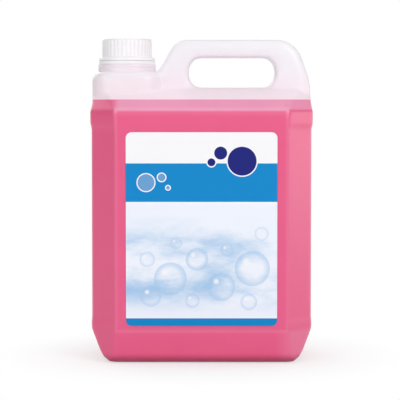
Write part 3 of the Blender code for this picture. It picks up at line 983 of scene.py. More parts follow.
@dataclass(frozen=True)
class WhitePolypropylene(Finish):
    """White moulded plastic with a fine eroded grain, and painted shade between its ribs. Lengths are in
    millimetres.

    Args:
        name: The material's name.
        axis_x: The x of the closure's middle.
        axis_y: The y of the closure's middle.
        groove_radius: How far from there the ground between the ribs is.
        grip_low: The height where the grip starts.
    """

    name: str
    axis_x: float
    axis_y: float
    groove_radius: float
    grip_low: float
    groove_height: float = 0.45
    groove_floor: Span = (-0.6, -0.3)
    grip_fade: float = 1.0
    colour: Colour = linear(249, 247, 249)
    shade_colour: Colour = linear(244, 242, 245)
    # Painted shade in the grooves between the ribs
    groove_shade_colour: Colour = linear(237, 234, 237)
    clouds: Grain = (0.08, 3.0)
    grain: Grain = (2.6, 3.0)
    grain_roughness: float = 0.12
    relief_depth: float = 0.05 * MM
    relief_strength: float = 0.5
    roughness: float = 0.4
    refraction: float = 1.49

    def material(self) -> bpy.types.Material:
        """Paints the plastic, with painted shade between its ribs.

        Returns:
            The new material.
        """
        board = Board.material(self.name)
        point, x, y, z = board.place()
        clouds = board.noise(point, *self.clouds)
        grain = board.noise(point, *self.grain)
        out = ((x - self.axis_x) ** 2.0 + (y - self.axis_y) ** 2.0) ** 0.5 - self.groove_radius
        # Painted shade in the grooves between the ribs, over the grip
        groove = out.falling(0.0, self.groove_height) * out.rising(*self.groove_floor)
        groove = groove * (z - self.grip_low).rising(0.0, self.grip_fade)
        colour = board.mixed(clouds, self.colour, self.shade_colour)
        return board.paint(
            base_color=board.mixed(groove, colour, self.groove_shade_colour),
            roughness=self.roughness + grain.swing(self.grain_roughness),
            ior=self.refraction,
            normal=board.bumped(grain, self.relief_depth, self.relief_strength),
        )


@dataclass(frozen=True)
class ClosedFoam(Finish):
    """Fine closed foam. Lengths are in millimetres."""

    colour: Colour = linear(238, 238, 234)
    cell_colour: Colour = linear(218, 218, 212)
    cells: float = 2.2
    cell_step: Span = (0.2, 0.9)
    roughness: float = 0.7
    cell_roughness: float = 0.1
    relief_depth: float = 0.12 * MM
    relief_strength: float = 0.6

    def material(self) -> bpy.types.Material:
        """Paints the foam's cells.

        Returns:
            The new material.
        """
        board = Board.material("white_foam")
        point, *_ = board.place()
        inputs = {"Vector": point, "Scale": self.cells}
        cells = board.node("TexVoronoi", {"feature": "F1"}, inputs, "Distance")
        return board.paint(
            base_color=board.mixed(cells.rising(*self.cell_step), self.colour, self.cell_colour),
            roughness=self.roughness + self.cell_roughness * cells,
            normal=board.bumped(cells, self.relief_depth, self.relief_strength),
        )


@dataclass
class CanShell:
    """The blown can with its handle and the block under its neck, and the soap inside. Lengths are in metres.

    Args:
        half_width: Half the body's width.
        half_depth: Half the body's depth.
        centre_y: The y of the body's middle.
        handle_top: How high the handle stands.
        platform: How high the neck's platform stands.
    """

    half_width: float
    half_depth: float
    centre_y: float
    handle_top: float
    platform: float
    wall: float = 1.5 * MM
    corner_run_x: float = 22.5 * MM
    corner_run_y: float = 26.0 * MM
    base_corner_run_x: float = 4.0 * MM
    base_corner_run_y: float = 9.0 * MM
    chamfer_height: float = 29.0 * MM
    end_chamfer_angle: float = math.radians(22.7)
    front_chamfer_angle: float = math.radians(15.0)
    fillet_height: float = 10.0 * MM
    end_fillet_run: float = 11.5 * MM
    front_fillet_run: float = 6.0 * MM
    fillet_steps: int = 3
    foot_width: float = 11.0 * MM
    hollow_height: float = 1.2 * MM
    crease: float = 221.4 * MM
    shoulder_height: float = 6.5 * MM
    shoulder_depth: float = 2.0 * MM
    roof_top: float = 239.6 * MM
    roof_half_depth: float = 18.0 * MM
    roof_setback: float = 2.0 * MM
    roof_corner_run_x: float = 14.0 * MM
    roof_corner_run_y: float = 8.0 * MM
    panel_low: float = 36.0 * MM
    panel_high: float = 208.0 * MM
    panel_step: float = 2.5 * MM
    panel_recess: float = 1.1 * MM
    foot_recess: float = 0.6 * MM
    crease_round: Round = (2.4 * MM, 3)
    buried: float = 8.0 * MM
    block_setback: float = 0.3 * MM
    block_length: float = 63.1 * MM
    block_depth: float = 59.0 * MM
    block_corner: Round = (21.0 * MM, 6)
    block_fillet: Round = (8.5 * MM, 5)
    handle_depth: float = 34.0 * MM
    handle_bar: float = 15.9 * MM
    handle_round: Round = (7.5 * MM, 5)
    handle_lean: float = math.radians(28.8)
    handle_foot: float = -38.45 * MM
    handle_right_setback: float = 14.5 * MM
    handle_knee: float = 247.0 * MM
    handle_knee_setback: float = 1.2 * MM
    handle_hip_rise: float = 9.6 * MM
    handle_hip_setback: float = 0.3 * MM
    handle_left_corner: Round = (9.5 * MM, 7)
    handle_right_corner: Round = (15.4 * MM, 8)
    handle_knee_corner: Round = (8.0 * MM, 4)
    hole_left: float = -11.7 * MM
    hole_right: float = 65.9 * MM
    hole_height: float = 26.6 * MM
    hole_end_run: float = 10.5 * MM
    hole_end_share: float = 0.999
    hole_end_steps: int = 10
    hole_round: float = 5.0 * MM
    hole_round_steps: int = 4
    voxel: float = 1.55 * MM
    soften_factor: float = 0.5
    soften_passes: int = 6
    level: float = 230.0 * MM
    sharp_angle: float = math.radians(35.0)

    def _chamfered(self, height: float) -> tuple[float, float]:
        """Half the width and half the depth where the base chamfers' planes are at a height.

        Args:
            height: The height.

        Returns:
            Half the width and half the depth.
        """
        drop = self.chamfer_height - height
        return (
            self.half_width - math.tan(self.end_chamfer_angle) * drop,
            self.half_depth - math.tan(self.front_chamfer_angle) * drop,
        )

    def _walls(self) -> list[Wall]:
        """The sloping walls of the corner of the body where x and y are positive.

        Returns:
            Three points on each wall.
        """
        width, depth = self.half_width, self.half_depth
        base_width, base_depth = self._chamfered(0.0)
        top_width, top_depth = self._chamfered(self.fillet_height)
        chamfer, crease, roof = self.chamfer_height, self.crease, self.roof_top
        side_y = depth - self.corner_run_y
        side_x = width - self.corner_run_x
        soft_depth = depth - self.shoulder_depth
        roof_width = width - self.roof_setback
        base_x = base_width - self.base_corner_run_x / 2
        base_y = base_depth - self.base_corner_run_y / 2
        roof_x = roof_width - self.roof_corner_run_x / 2
        roof_y = self.roof_half_depth - self.roof_corner_run_y / 2
        soft_side_y = side_y - self.shoulder_depth
        low_corner = (Vector((width, side_y, chamfer)), Vector((side_x, depth, chamfer)))
        high_corner = (Vector((width, soft_side_y, crease)), Vector((side_x, soft_depth, crease)))
        walls = [
            (*low_corner, Vector((width, side_y, 0))),
            (*low_corner, Vector((base_x, base_y, 0))),
            (*high_corner, Vector((roof_x, roof_y, roof))),
            self._sloped_front(depth, chamfer, base_depth, 0.0),
            self._sloped_front(depth, crease - self.shoulder_height, soft_depth, crease),
            self._sloped_front(soft_depth, crease, self.roof_half_depth, roof),
            self._sloped_end(width, chamfer, base_width, 0.0),
            self._sloped_end(width, crease, roof_width, roof),
        ]
        for i in range(self.fillet_steps):
            ends = self._fillet_step(i, base_width - self.end_fillet_run, base_width, top_width)
            fronts = self._fillet_step(i, base_depth - self.front_fillet_run, base_depth, top_depth)
            walls.append(self._sloped_end(*ends[0], *ends[1]))
            walls.append(self._sloped_front(*fronts[0], *fronts[1]))
        return walls

    def _planes(self) -> list[tuple[Vector, Vector]]:
        """The planes of the sloping walls all round the body, each plane once.

        Returns:
            A point and the outward normal of each plane.
        """
        middle = Vector((0.0, 0.0, self.crease / 2))
        planes: list[tuple[Vector, Vector]] = []
        for wall in self._walls():
            for x_side, y_side in ((1, 1), (-1, 1), (-1, -1), (1, -1)):
                a, b, c = (Vector((p.x * x_side, p.y * y_side, p.z)) for p in wall)
                outward = (b - a).cross(c - a).normalized()
                if outward.dot(a - middle) < 0:
                    outward.negate()
                twins = (n for p, n in planes if abs((a - p).dot(n)) < PLANE_SLACK)
                if not any(outward.dot(n) > SAME_WAY for n in twins):
                    planes.append((a, outward))
        return planes

    def _fillet_step(self, step: int, foot: float, corner: float, top: float) -> list[tuple[float, float]]:
        """Two neighbouring (size, height) points on the soft edge between the foot and a base chamfer.

        Args:
            step: Which step of the edge it is.
            foot: The size where the edge leaves the foot.
            corner: The size where the chamfer's plane would reach the ground.
            top: The size where the edge meets the chamfer.

        Returns:
            The step's lower and upper points.
        """
        points = []
        for t in (step / self.fillet_steps, (step + 1) / self.fillet_steps):
            size = (1 - t) ** 2 * foot + 2 * t * (1 - t) * corner + t**2 * top
            points.append((size, t**2 * self.fillet_height))
        return points

    def _sloped_front(self, low_y: float, low_z: float, high_y: float, high_z: float) -> Wall:
        """Three points on a wall that faces the front or back."""
        return Vector((0, low_y, low_z)), Vector((self.half_width, low_y, low_z)), Vector((0, high_y, high_z))

    def _sloped_end(self, low_x: float, low_z: float, high_x: float, high_z: float) -> Wall:
        """Three points on a wall that faces an end."""
        return Vector((low_x, 0, low_z)), Vector((low_x, self.half_depth, low_z)), Vector((high_x, 0, high_z))

    def body(self, name: str, inset: float, top: float) -> Form:
        """The body cut from a block by its sloping walls, with soft creases and set-back end panels.

        Args:
            name: The object's name.
            inset: How far it is set in on all sides.
            top: How high it reaches.

        Returns:
            The body.
        """
        width, depth = self.half_width - inset, self.half_depth - inset
        form = Form.block(name, Vector((-width, -depth, inset)), Vector((width, depth, top)))
        with form:
            for point, outward in self._planes():
                form.cut_off(point - outward * inset, outward)
            lowest = self.fillet_height + inset
            form.pick_edges(lambda a, b: min(a.z, b.z) > lowest and max(a.z, b.z) < top - NEAR)
            form.round_off(*self.crease_round)
            low, high = self.panel_low, self.panel_high
            for height in (low, low + self.panel_step, high - self.panel_step, high):
                form.score(Vector((0, 0, height)), Vector((0, 0, 1)))
            panel = (low + self.panel_step - NEAR, high - self.panel_step + NEAR, self.panel_recess)
            for bottom, top_end, recess in (panel, (0.0, low + NEAR, self.foot_recess)):
                form.pick_points(lambda point: bottom <= point.z <= top_end)
                share = 1 - recess / self.half_width
                bpy.ops.transform.resize(value=(share, 1.0, 1.0), center_override=(0.0, 0.0, 0.0))
            form.pick_faces(lambda centre, normal: normal.z < -FACING and centre.z < inset + NEAR)
            bpy.ops.mesh.inset(thickness=self.foot_width - inset, depth=0.0)
            form.shift(z=self.hollow_height)
            form.seal()
        return form

    def block(self) -> Form:
        """The block that carries the neck, with round corners and a soft top edge.

        Returns:
            The block.
        """
        left = -self.half_width + self.block_setback
        low = Vector((left, -self.block_depth / 2, self.crease - self.buried))
        high = Vector((left + self.block_length, self.block_depth / 2, self.platform))
        form = Form.block("neck_block", low, high)
        with form:
            form.pick_edges(lambda a, b: abs(a.z - b.z) > NEAR)
            form.round_off(*self.block_corner)
            form.pick_edges(lambda a, b: min(a.z, b.z) > self.platform - NEAR)
            form.round_off(*self.block_fillet)
            form.seal()
        return form

    def handle(self) -> Form:
        """The handle with its finger hole.

        Returns:
            The handle.
        """
        half = self.handle_depth / 2
        low = Vector((-self.half_width, -half, self.crease - self.buried))
        high = Vector((self.half_width, half, self.handle_top))
        form = Form.block("handle", low, high)
        lean = Vector((-math.cos(self.handle_lean), 0.0, math.sin(self.handle_lean)))
        knee = Vector((self.half_width - self.handle_knee_setback, 0.0, self.handle_knee))
        hip = Vector((self.half_width - self.handle_hip_setback, 0.0, self.crease + self.handle_hip_rise))
        top_right = Vector((self.half_width - self.handle_right_setback, 0.0, self.handle_top))
        with form:
            form.cut_off(Vector((self.handle_foot, 0.0, self.platform)), lean)
            for lower, upper in ((hip, knee), (knee, top_right)):
                along = upper - lower
                form.cut_off(lower, Vector((along.z, 0.0, -along.x)))
            form.pick_edges(lambda a, b: abs(a.y - b.y) > half and a.z > high.z - NEAR and a.x < 0)
            form.round_off(*self.handle_left_corner)
            form.pick_edges(lambda a, b: abs(a.y - b.y) > half and a.z > high.z - NEAR and a.x > high.x / 2)
            form.round_off(*self.handle_right_corner)
            form.pick_edges(lambda a, b: abs(a.y - b.y) > half and abs(a.z - self.handle_knee) < NEAR)
            form.round_off(*self.handle_knee_corner)
            form.pick_edges(
                lambda a, b: a.y * b.y > 0 and abs(a.y - b.y) < NEAR and max(a.z, b.z) > low.z + NEAR
            )
            form.round_off(*self.handle_round)
            form.seal()
        return form.cut_out(self._finger_hole())

    def _finger_hole(self) -> Form:
        """The space of the finger hole, which widens towards both faces of the handle.

        Returns:
            The cutter.
        """
        top = self.handle_top - self.handle_bar
        straight = self.handle_depth / 2 - self.hole_round
        low = Vector((self.hole_left, -straight, top - self.hole_height))
        high = Vector((self.hole_right, straight, top))
        middle = (low + high) / 2
        form = Form.block("finger_hole", low, high)
        radius = self.hole_height / 2
        reach = Vector(((self.hole_right - self.hole_left) / 2, 0.0, radius))
        with form:
            form.pick_edges(lambda a, b: abs(a.y - b.y) > straight)
            form.round_off(radius * self.hole_end_share, self.hole_end_steps)
            for end, side in ((self.hole_left, -1), (self.hole_right, 1)):
                form.pick_points(lambda point: (point.x - (end - side * radius)) * side > -NEAR)
                share = self.hole_end_run / radius
                bpy.ops.transform.resize(value=(share, 1.0, 1.0), center_override=(end, 0.0, middle.z))
            for side in (-1, 1):
                form.pick_faces(lambda centre, normal: normal.y * side > ROUGHLY_FACING)
                grown, gone = 0.0, 0.0
                for i in range(1, self.hole_round_steps + 1):
                    angle = math.pi / 2 * i / self.hole_round_steps
                    next_grown = self.hole_round * (1 - math.cos(angle))
                    next_gone = self.hole_round * math.sin(angle)
                    bpy.ops.mesh.extrude_region_move()
                    form.shift(y=side * (next_gone - gone))
                    shares = [(r + next_grown) / (r + grown) for r in (reach.x, reach.z)]
                    bpy.ops.transform.resize(value=(shares[0], 1.0, shares[1]), center_override=middle)
                    grown, gone = next_grown, next_gone
                bpy.ops.mesh.extrude_region_move()
                form.shift(y=side * self.hole_round)
            form.seal()
        return form

    def build(self, plastic: Finish, soap: Finish) -> None:
        """Builds the skin and the soap and dresses them.

        Args:
            plastic: The skin's finish.
            soap: The soap's finish.
        """
        skin = self.body("can_skin", 0.0, self.roof_top)
        skin.take_in(self.block(), self.handle())
        skin.finish("REMESH", mode="VOXEL", voxel_size=self.voxel, use_smooth_shade=True)
        skin.finish("SMOOTH", factor=self.soften_factor, iterations=self.soften_passes)
        liquid = self.body("liquid_soap", self.wall, self.level)
        for form in (skin, liquid):
            with form:
                bpy.ops.mesh.select_all(action="SELECT")
                form.shift(y=self.centre_y)
        skin.smooth(self.sharp_angle)
        liquid.smooth(self.sharp_angle)
        skin.dress(plastic, Body.CAN, Slot.POLYETHYLENE, "bottle")
        liquid.dress(soap, Body.CAN, Slot.SOAP, "soap")


@dataclass
class NeckFinish:
    """The collar, bead, thread and rim of the neck, with the band that locks under the bead.

    Lengths are in metres.

    Args:
        axis: The middle of the neck at the platform's height.
        band_radius: The outer radius of the tamper band.
    """

    axis: Vector
    band_radius: float
    radius: float = 18.5 * MM
    wall: float = 2.0 * MM
    height: float = 25.5 * MM
    root: float = 6.0 * MM
    rim_round: float = 0.6 * MM
    collar_proud: float = 0.75 * MM
    collar_height: float = 5.92 * MM
    collar_wall: float = 1.2 * MM
    collar_round: float = 0.3 * MM
    groove_depth: float = 0.4 * MM
    groove_slope: float = 0.15 * MM
    groove_bottom: float = 3.0 * MM
    groove_height: float = 0.7 * MM
    bead_reach: float = 2.4 * MM
    bead_bottom: float = 7.2 * MM
    bead_land: float = 0.6 * MM
    bead_height: float = 1.5 * MM
    lug_angles: tuple[float, ...] = (196.0, 210.0, 16.0, 30.0)
    lug_width: float = 1.3 * MM
    lug_reach: float = 0.45 * MM
    lug_sink: float = 1.0 * MM
    lug_bottom: float = -0.2 * MM
    lug_height: float = 5.2 * MM
    lug_round: Round = (0.25 * MM, 2)
    thread_pitch: float = 4.5 * MM
    thread_turns: int = 2
    thread_start: float = 12.5 * MM
    thread_depth: float = 1.15 * MM
    thread_root: float = 2.0 * MM
    thread_crest: float = 0.9 * MM
    thread_sink: float = 0.4 * MM
    thread_steps: int = 40
    run_out_steps: int = 5
    band_bottom: float = 6.05 * MM
    band_height: float = 2.97 * MM
    band_lip: float = 0.8 * MM
    band_clearance: float = 0.7 * MM
    band_wall: float = 1.45 * MM
    band_round: float = 0.12 * MM
    bridge_count: int = 12
    bridge_width: float = 0.9 * MM
    bridge_height: float = 0.13 * MM
    bridge_sink: float = 0.4 * MM
    bridge_inner: float = 1.0 * MM
    bridge_outer: float = 0.12 * MM
    bridge_round: Round = (0.08 * MM, 2)
    steps: int = 120
    sharp_angle: float = math.radians(40.0)

    def _tube(self) -> Form:
        """The neck's wall, from its root in the platform over the collar and bead to the rim and down inside.

        Returns:
            The neck without its thread.
        """
        collar = self.band_radius + self.collar_proud
        groove = collar - self.groove_depth
        groove_top = self.groove_bottom + self.groove_height
        bead = self.radius + self.bead_reach
        bore = self.radius - self.wall
        under = self.collar_height - self.collar_wall
        outside = [
            (collar, -self.root),
            (collar, self.groove_bottom),
            (groove, self.groove_bottom + self.groove_slope),
            (groove, groove_top - self.groove_slope),
            (collar, groove_top),
            (collar, self.collar_height - self.collar_round),
            (collar - EDGE_MIDDLE * self.collar_round, self.collar_height - EDGE_MIDDLE * self.collar_round),
            (collar - self.collar_round, self.collar_height),
            (self.radius, self.collar_height),
            (self.radius, self.bead_bottom),
            (bead, self.bead_bottom),
            (bead, self.bead_bottom + self.bead_land),
            (self.radius, self.bead_bottom + self.bead_height),
            (self.radius, self.height - self.rim_round),
            (self.radius - EDGE_MIDDLE * self.rim_round, self.height - EDGE_MIDDLE * self.rim_round),
            (self.radius - self.rim_round, self.height),
            (bore + self.rim_round, self.height),
            (bore, self.height - self.rim_round),
            (bore, under),
            (collar - self.collar_wall, under),
            (collar - self.collar_wall, -self.root),
            (collar, -self.root),
        ]
        return Form.turned("neck_finish", self.axis, outside, self.steps)

    def _lug(self, degrees: float) -> Form:
        """One small upright lug on the collar.

        Args:
            degrees: Where it is round the collar.

        Returns:
            The lug.
        """
        collar = self.band_radius + self.collar_proud
        low = self.axis + Vector((collar - self.lug_sink, -self.lug_width / 2, self.lug_bottom))
        high = self.axis + Vector((collar + self.lug_reach, self.lug_width / 2, self.lug_height))
        form = Form.block("lug", low, high)
        with form:
            form.pick_edges(lambda a, b: min(a.x, b.x) > high.x - NEAR)
            form.round_off(*self.lug_round)
            bpy.ops.mesh.select_all(action="SELECT")
            bpy.ops.transform.rotate(value=-math.radians(degrees), orient_axis="Z", center_override=self.axis)
            form.seal()
        return form

    def _thread(self) -> Form:
        """The thread's ridge: one flat section carried round and up by a screw, and run out at both ends.

        Returns:
            The thread.
        """
        Form.put_down()
        bpy.ops.mesh.primitive_plane_add(size=1.0, location=(0.0, 0.0, 0.0), rotation=(math.pi / 2, 0.0, 0.0))
        form = Form(bpy.context.object)
        form.obj.name = "thread"
        bpy.ops.object.transform_apply(location=True, rotation=True, scale=True)
        foot = self.radius - self.thread_sink
        crest = self.radius + self.thread_depth
        with form:
            for side, radius, width in ((-1, foot, self.thread_root), (1, crest, self.thread_crest)):
                form.pick_points(lambda point: point.x * side > 0)
                bpy.ops.transform.resize(value=(0.0, 1.0, width), center_override=(0.0, 0.0, 0.0))
                form.shift(x=radius)
            bpy.ops.mesh.delete(type="ONLY_FACE")
        form.finish(
            "SCREW",
            angle=2 * math.pi,
            screw_offset=self.thread_pitch,
            iterations=self.thread_turns,
            steps=self.thread_steps,
            render_steps=self.thread_steps,
            use_merge_vertices=False,
        )
        with form:
            bpy.ops.mesh.select_all(action="SELECT")
            bpy.ops.mesh.remove_doubles(threshold=MERGED)
            rise = self.thread_pitch / self.thread_steps
            for end, way in ((0.0, 1), (self.thread_pitch * self.thread_turns, -1)):
                for i in range(self.run_out_steps):
                    centre = end + way * i * rise
                    grown = i / self.run_out_steps
                    angle = 2 * math.pi * centre / self.thread_pitch
                    across = Vector((math.cos(angle), math.sin(angle), 0.0))
                    form.pick_points(
                        lambda point: point.xy.length > self.radius + NEAR
                        and point.xy.normalized().dot(across.xy) > SAME_WAY
                        and abs(point.z - centre) < self.thread_root
                    )
                    share = (self.radius - NEAR + grown * self.thread_depth) / crest
                    bpy.ops.transform.resize(value=(share, share, 1.0), center_override=(0.0, 0.0, centre))
            bpy.ops.mesh.select_all(action="SELECT")
            bpy.ops.mesh.fill_holes(sides=4)
            form.seal()
            form.shift(self.axis.x, self.axis.y, self.axis.z + self.thread_start)
        return form

    def _band(self) -> Form:
        """The tamper band with the stubs of its broken bridges.

        Returns:
            The band.
        """
        outer, edge = self.band_radius, self.band_round
        top = self.band_bottom + self.band_height
        inner = outer - self.band_wall
        lip = self.radius + self.band_clearance
        form = Form.turned(
            "tamper_ring",
            self.axis,
            [
                (lip, self.band_bottom),
                (outer - edge, self.band_bottom),
                (outer, self.band_bottom + edge),
                (outer, top - edge),
                (outer - edge, top),
                (inner, top),
                (inner, self.band_bottom + self.band_lip),
                (lip, self.band_bottom + self.band_lip),
                (lip, self.band_bottom),
            ],
            self.steps,
        )
        half = self.bridge_width / 2
        low = self.axis + Vector((outer - self.bridge_inner, -half, top - self.bridge_sink))
        high = self.axis + Vector((outer - self.bridge_outer, half, top + self.bridge_height))
        bridges = []
        for i in range(self.bridge_count):
            bridge = Form.block("bridge", low, high)
            with bridge:
                bridge.pick_edges(lambda a, b: min(a.z, b.z) > high.z - NEAR)
                bridge.round_off(*self.bridge_round)
                bpy.ops.mesh.select_all(action="SELECT")
                angle = -2 * math.pi * (i + 0.5) / self.bridge_count
                bpy.ops.transform.rotate(value=angle, orient_axis="Z", center_override=self.axis)
            bridges.append(bridge)
        return form.take_in(*bridges)

    def build(self, plastic: Finish, white: Finish) -> None:
        """Builds the neck and the band and dresses them.

        Args:
            plastic: The neck's finish.
            white: The band's finish.
        """
        neck = self._tube()
        neck.take_in(self._thread(), *(self._lug(degrees) for degrees in self.lug_angles))
        neck.smooth(self.sharp_angle)
        neck.dress(plastic, Body.CAN, Slot.POLYETHYLENE)
        band = self._band()
        band.smooth(self.sharp_angle)
        band.dress(white, Body.CAN, Slot.POLYPROPYLENE, "tamper_band")


@dataclass
class ScrewCap:
    """The ribbed cap with its flared foot. Lengths are in metres.

    Args:
        axis: The middle of the cap at the height of its lower rim.
        height: The cap's height.
        flare_radius: The radius of its foot.
    """

    axis: Vector
    height: float
    flare_radius: float
    bore: float = 20.0 * MM
    skirt: float = 1.6 * MM
    crown: float = 1.5 * MM
    flare_height: float = 2.6 * MM
    flare_slope: float = 0.9 * MM
    flare_wall: float = 1.5 * MM
    flare_hollow: float = 1.1 * MM
    flare_hollow_slope: float = 0.9 * MM
    flare_round: tuple[float, float] = (0.35, 0.7)
    top_round: float = 1.2 * MM
    top_round_steps: int = 4
    edge_round: float = 0.15 * MM
    grip_top_gap: float = 0.9 * MM
    grip_foot_gap: float = 0.4 * MM
    grip_root: float = 0.5 * MM
    grip_root_share: float = 0.75
    rib_count: int = 36
    rib_height: float = 0.5 * MM
    rib_shape: tuple[float, ...] = (0.0, 0.55, 1.0, 1.0, 1.0, 0.55)
    dish_radius: float = 16.5 * MM
    dish_depth: float = 0.35 * MM
    dish_slope: float = 0.4 * MM
    gate_radius: float = 1.6 * MM
    gate_depth: float = 0.2 * MM
    gate_slope: float = 0.3 * MM
    core_radius: float = 0.2 * MM
    sharp_angle: float = math.radians(40.0)

    @property
    def grip_low(self) -> float:
        """The height just under the ribs."""
        return self.axis.z + self.flare_height + self.flare_slope + self.grip_foot_gap - NEAR

    @property
    def grip_high(self) -> float:
        """The height just over the ribs."""
        return self.axis.z + self.height - self.top_round - self.grip_top_gap + NEAR

    def _profile(self) -> list[tuple[float, float]]:
        """The cap's section, from the middle of its top down the outside and up the inside.

        Returns:
            (radius, height) points over the lower rim.
        """
        body = self.bore + self.skirt
        top = self.height
        edge = self.edge_round
        crown = body + self.rib_height / 2
        soft = self.top_round
        flare = self.flare_radius
        flare_top = self.flare_height
        dish = top - self.dish_depth
        arc = [math.pi / 2 * (1 - i / self.top_round_steps) for i in range(self.top_round_steps + 1)]
        upper, lower = (flare_top - share * self.flare_slope for share in self.flare_round)
        return [
            (self.core_radius, dish - self.gate_depth),
            (self.gate_radius, dish - self.gate_depth),
            (self.gate_radius + self.gate_slope, dish),
            (self.dish_radius, dish),
            (self.dish_radius + self.dish_slope, top),
            *((crown - soft + soft * math.cos(a), top - soft + soft * math.sin(a)) for a in arc),
            (body, top - soft - self.grip_top_gap),
            (body, flare_top + self.flare_slope + self.grip_foot_gap),
            (body + self.grip_root, flare_top + self.grip_root_share * self.flare_slope),
            (flare - self.flare_slope, flare_top),
            (flare - edge, upper),
            (flare, lower),
            (flare, edge),
            (flare - edge, 0.0),
            (flare - self.flare_wall, 0.0),
            (flare - self.flare_wall, self.flare_hollow),
            (self.bore, self.flare_hollow + self.flare_hollow_slope),
            (self.bore, top - self.crown),
            (self.core_radius, top - self.crown),
        ]

    def _on_rib(self, point: Vector, place: int) -> bool:
        """Whether a point of the grip lies at one place of the ribs' shape.

        Args:
            point: The point.
            place: The place in rib_shape.

        Returns:
            Whether it does.
        """
        away = point - self.axis
        if not self.grip_low < point.z < self.grip_high:
            return False
        if abs(away.xy.length - self.bore - self.skirt) > NEAR:
            return False
        samples = len(self.rib_shape)
        step = 2 * math.pi / (self.rib_count * samples)
        return round(math.atan2(away.y, away.x) / step) % samples == place

    def build(self, white: Finish) -> None:
        """Builds the cap and dresses it.

        Args:
            white: The cap's finish.
        """
        steps = self.rib_count * len(self.rib_shape)
        cap = Form.turned("ribbed_cap", self.axis, self._profile(), steps)
        with cap:
            for place, share in enumerate(self.rib_shape):
                cap.pick_points(lambda point: self._on_rib(point, place))
                grown = 1 + share * self.rib_height / (self.bore + self.skirt)
                bpy.ops.transform.resize(value=(grown, grown, 1.0), center_override=self.axis)
            cap.seal()
        cap.smooth(self.sharp_angle)
        cap.dress(white, Body.CLOSURE, Slot.POLYPROPYLENE, "cap")


@dataclass(frozen=True)
class Lamp:
    """One soft square lamp. Lengths are in metres, and its power is in watts."""

    name: str
    place: tuple[float, float, float]
    size: float
    power: float
    only_mirrored: bool = False


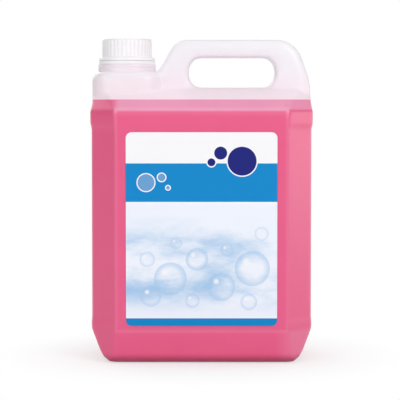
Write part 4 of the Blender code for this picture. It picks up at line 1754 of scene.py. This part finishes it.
@dataclass
class Studio:
    """The floor, the light and the camera. Lengths are in metres, but the glow's step is in millimetres."""

    target: Vector = field(default_factory=lambda: Vector((0.0, 0.0, 0.13)))
    camera_place: tuple[float, float, float] = (-0.00135, -1.5729, 0.2224)
    camera_pitch: float = math.radians(87.0)
    camera_reach: float = 50.0
    lens: float = 157.5
    floor_size: float = 12.0
    floor_colour: Colour = linear(252, 251, 252)
    speck_colour: Colour = linear(246, 246, 246)
    speck_share: float = 0.3
    specks: Grain = (0.05, 2.0)
    floor_roughness: float = 0.9
    floor_glow: float = 0.56
    glow_step: Span = (60.0, 200.0)
    sky_strength: float = 0.62
    sky_side_loss: float = 0.45
    sky_side: Span = (0.2, 0.9)
    lamps: tuple[Lamp, ...] = (
        Lamp("key", (1.05, -1.35, 1.05), 0.8, 12.5),
        Lamp("fill", (-1.2, -1.15, 0.6), 0.8, 5.2),
        Lamp("top", (0.1, 0.15, 1.6), 1.2, 3.0),
        Lamp("back", (-0.7, 1.5, 0.9), 0.9, 5.0),
        Lamp("side", (1.4, 0.3, 0.33), 0.62, 4.4, only_mirrored=True),
    )

    def _floor(self) -> None:
        """The plain white floor, which glows a little for the camera so that it meets the background."""
        Form.put_down()
        bpy.ops.mesh.primitive_plane_add(size=self.floor_size, location=(0.0, 0.0, 0.0))
        floor = bpy.context.object
        floor.name = "floor"
        board = Board.material("studio_floor")
        point, *_ = board.place()
        specks = board.noise(point, *self.specks) * self.speck_share
        colour = board.mixed(specks, self.floor_colour, self.speck_colour)
        board.paint(base_color=colour, roughness=self.floor_roughness)
        away = board.node("VectorMath", {"operation": "LENGTH"}, {0: point}, "Value")
        share = self.floor_glow + (1 - self.floor_glow) * away.rising(*self.glow_step)
        board.whitened(share, "Emission", "Is Camera Ray", "Is Glossy Ray", "Is Transmission Ray")
        floor.data.materials.append(board.made)

    def _sky(self) -> None:
        """Even light from all round, weaker from both sides, with a white background for the camera."""
        world = bpy.data.worlds.new("studio")
        bpy.context.scene.world = world
        board = Board(world)
        side = board.node("SeparateXYZ", None, {0: board.node("TexCoord", output="Generated")}, 0)
        strength = self.sky_strength * (1 - self.sky_side_loss * abs(side).rising(*self.sky_side))
        board.paint(color=WHITE, strength=strength)
        board.whitened(1.0, "Background", "Is Camera Ray", "Is Transmission Ray")

    def _light(self, lamp: Lamp) -> None:
        """Hangs one lamp and aims it at the object.

        Args:
            lamp: The lamp.
        """
        data = bpy.data.lights.new(lamp.name, "AREA")
        data.size = lamp.size
        data.energy = lamp.power
        obj = bpy.data.objects.new(lamp.name, data)
        bpy.context.scene.collection.objects.link(obj)
        obj.visible_diffuse = not lamp.only_mirrored
        place = Vector(lamp.place)
        turn = (place - self.target).to_track_quat("Z", "Y")
        obj.matrix_world = Matrix.Translation(place) @ turn.to_matrix().to_4x4()

    def _camera(self) -> None:
        """Sets up the camera at the photograph's viewing angle."""
        data = bpy.data.cameras.new("camera")
        data.lens = self.lens
        data.clip_end = self.camera_reach
        obj = bpy.data.objects.new("camera", data)
        bpy.context.scene.collection.objects.link(obj)
        obj.location = self.camera_place
        obj.rotation_euler = (self.camera_pitch, 0.0, 0.0)
        bpy.context.scene.camera = obj

    def build(self) -> None:
        """Sets up the whole studio."""
        bpy.context.scene.view_settings.view_transform = "Standard"
        self._floor()
        self._sky()
        for lamp in self.lamps:
            self._light(lamp)
        self._camera()


def dress_node(name: str, finish: Finish) -> None:
    """Gives a solid that stays in view its finish.

    Args:
        name: The node.
        finish: Its finish.
    """
    node = frame["nodes"][name]
    node.data.materials.clear()
    node.data.materials.append(finish.material())
    LOG.info("%s: keeps its solid", name)


def main() -> None:
    """Builds the object's pieces over their solids, then the studio."""
    logging.basicConfig(level=logging.INFO, format="%(message)s")
    bottle_low, bottle_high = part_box("bottle")
    cap_low, cap_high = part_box("cap")
    band_low, band_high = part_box("tamper_band")
    label_low, label_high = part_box("front_label")
    turn = next(joint for joint in frame["joints"] if joint["name"] == "cap_turn")
    neck_axis = Vector(turn["pos_m"])
    can = CanShell(
        half_width=bottle_high.x,
        half_depth=(bottle_high.y - bottle_low.y) / 2,
        centre_y=(bottle_high.y + bottle_low.y) / 2,
        handle_top=bottle_high.z,
        platform=neck_axis.z,
    )
    plastic = MilkyPolyethylene(
        name="natural_polyethylene",
        level=can.level / MM,
        seam=can.centre_y / MM,
        panel_bottom=can.chamfer_height / MM,
        panel_top=can.crease / MM,
    )
    cap_axis = Vector((neck_axis.x, neck_axis.y, cap_low.z))
    cap = ScrewCap(cap_axis, cap_high.z - cap_low.z, (cap_high.x - cap_low.x) / 2)
    white = WhitePolypropylene(
        name="white_polypropylene",
        axis_x=cap_axis.x / MM,
        axis_y=cap_axis.y / MM,
        groove_radius=(cap.bore + cap.skirt) / MM,
        grip_low=cap.grip_low / MM,
    )
    can.build(plastic, LiquidSoap(can.level / MM))
    neck = NeckFinish(neck_axis, (band_high.x - band_low.x) / 2)
    neck.build(plastic.thicker("neck_polyethylene"), white)
    cap.build(white)
    label_middle = (label_low.x + label_high.x) / 2
    dress_node("front_label", PrintedFilm(label_middle / MM, label_low.z / MM))
    dress_node("cap_liner", ClosedFoam())
    Studio().build()


if __name__ == "__main__":
    main()
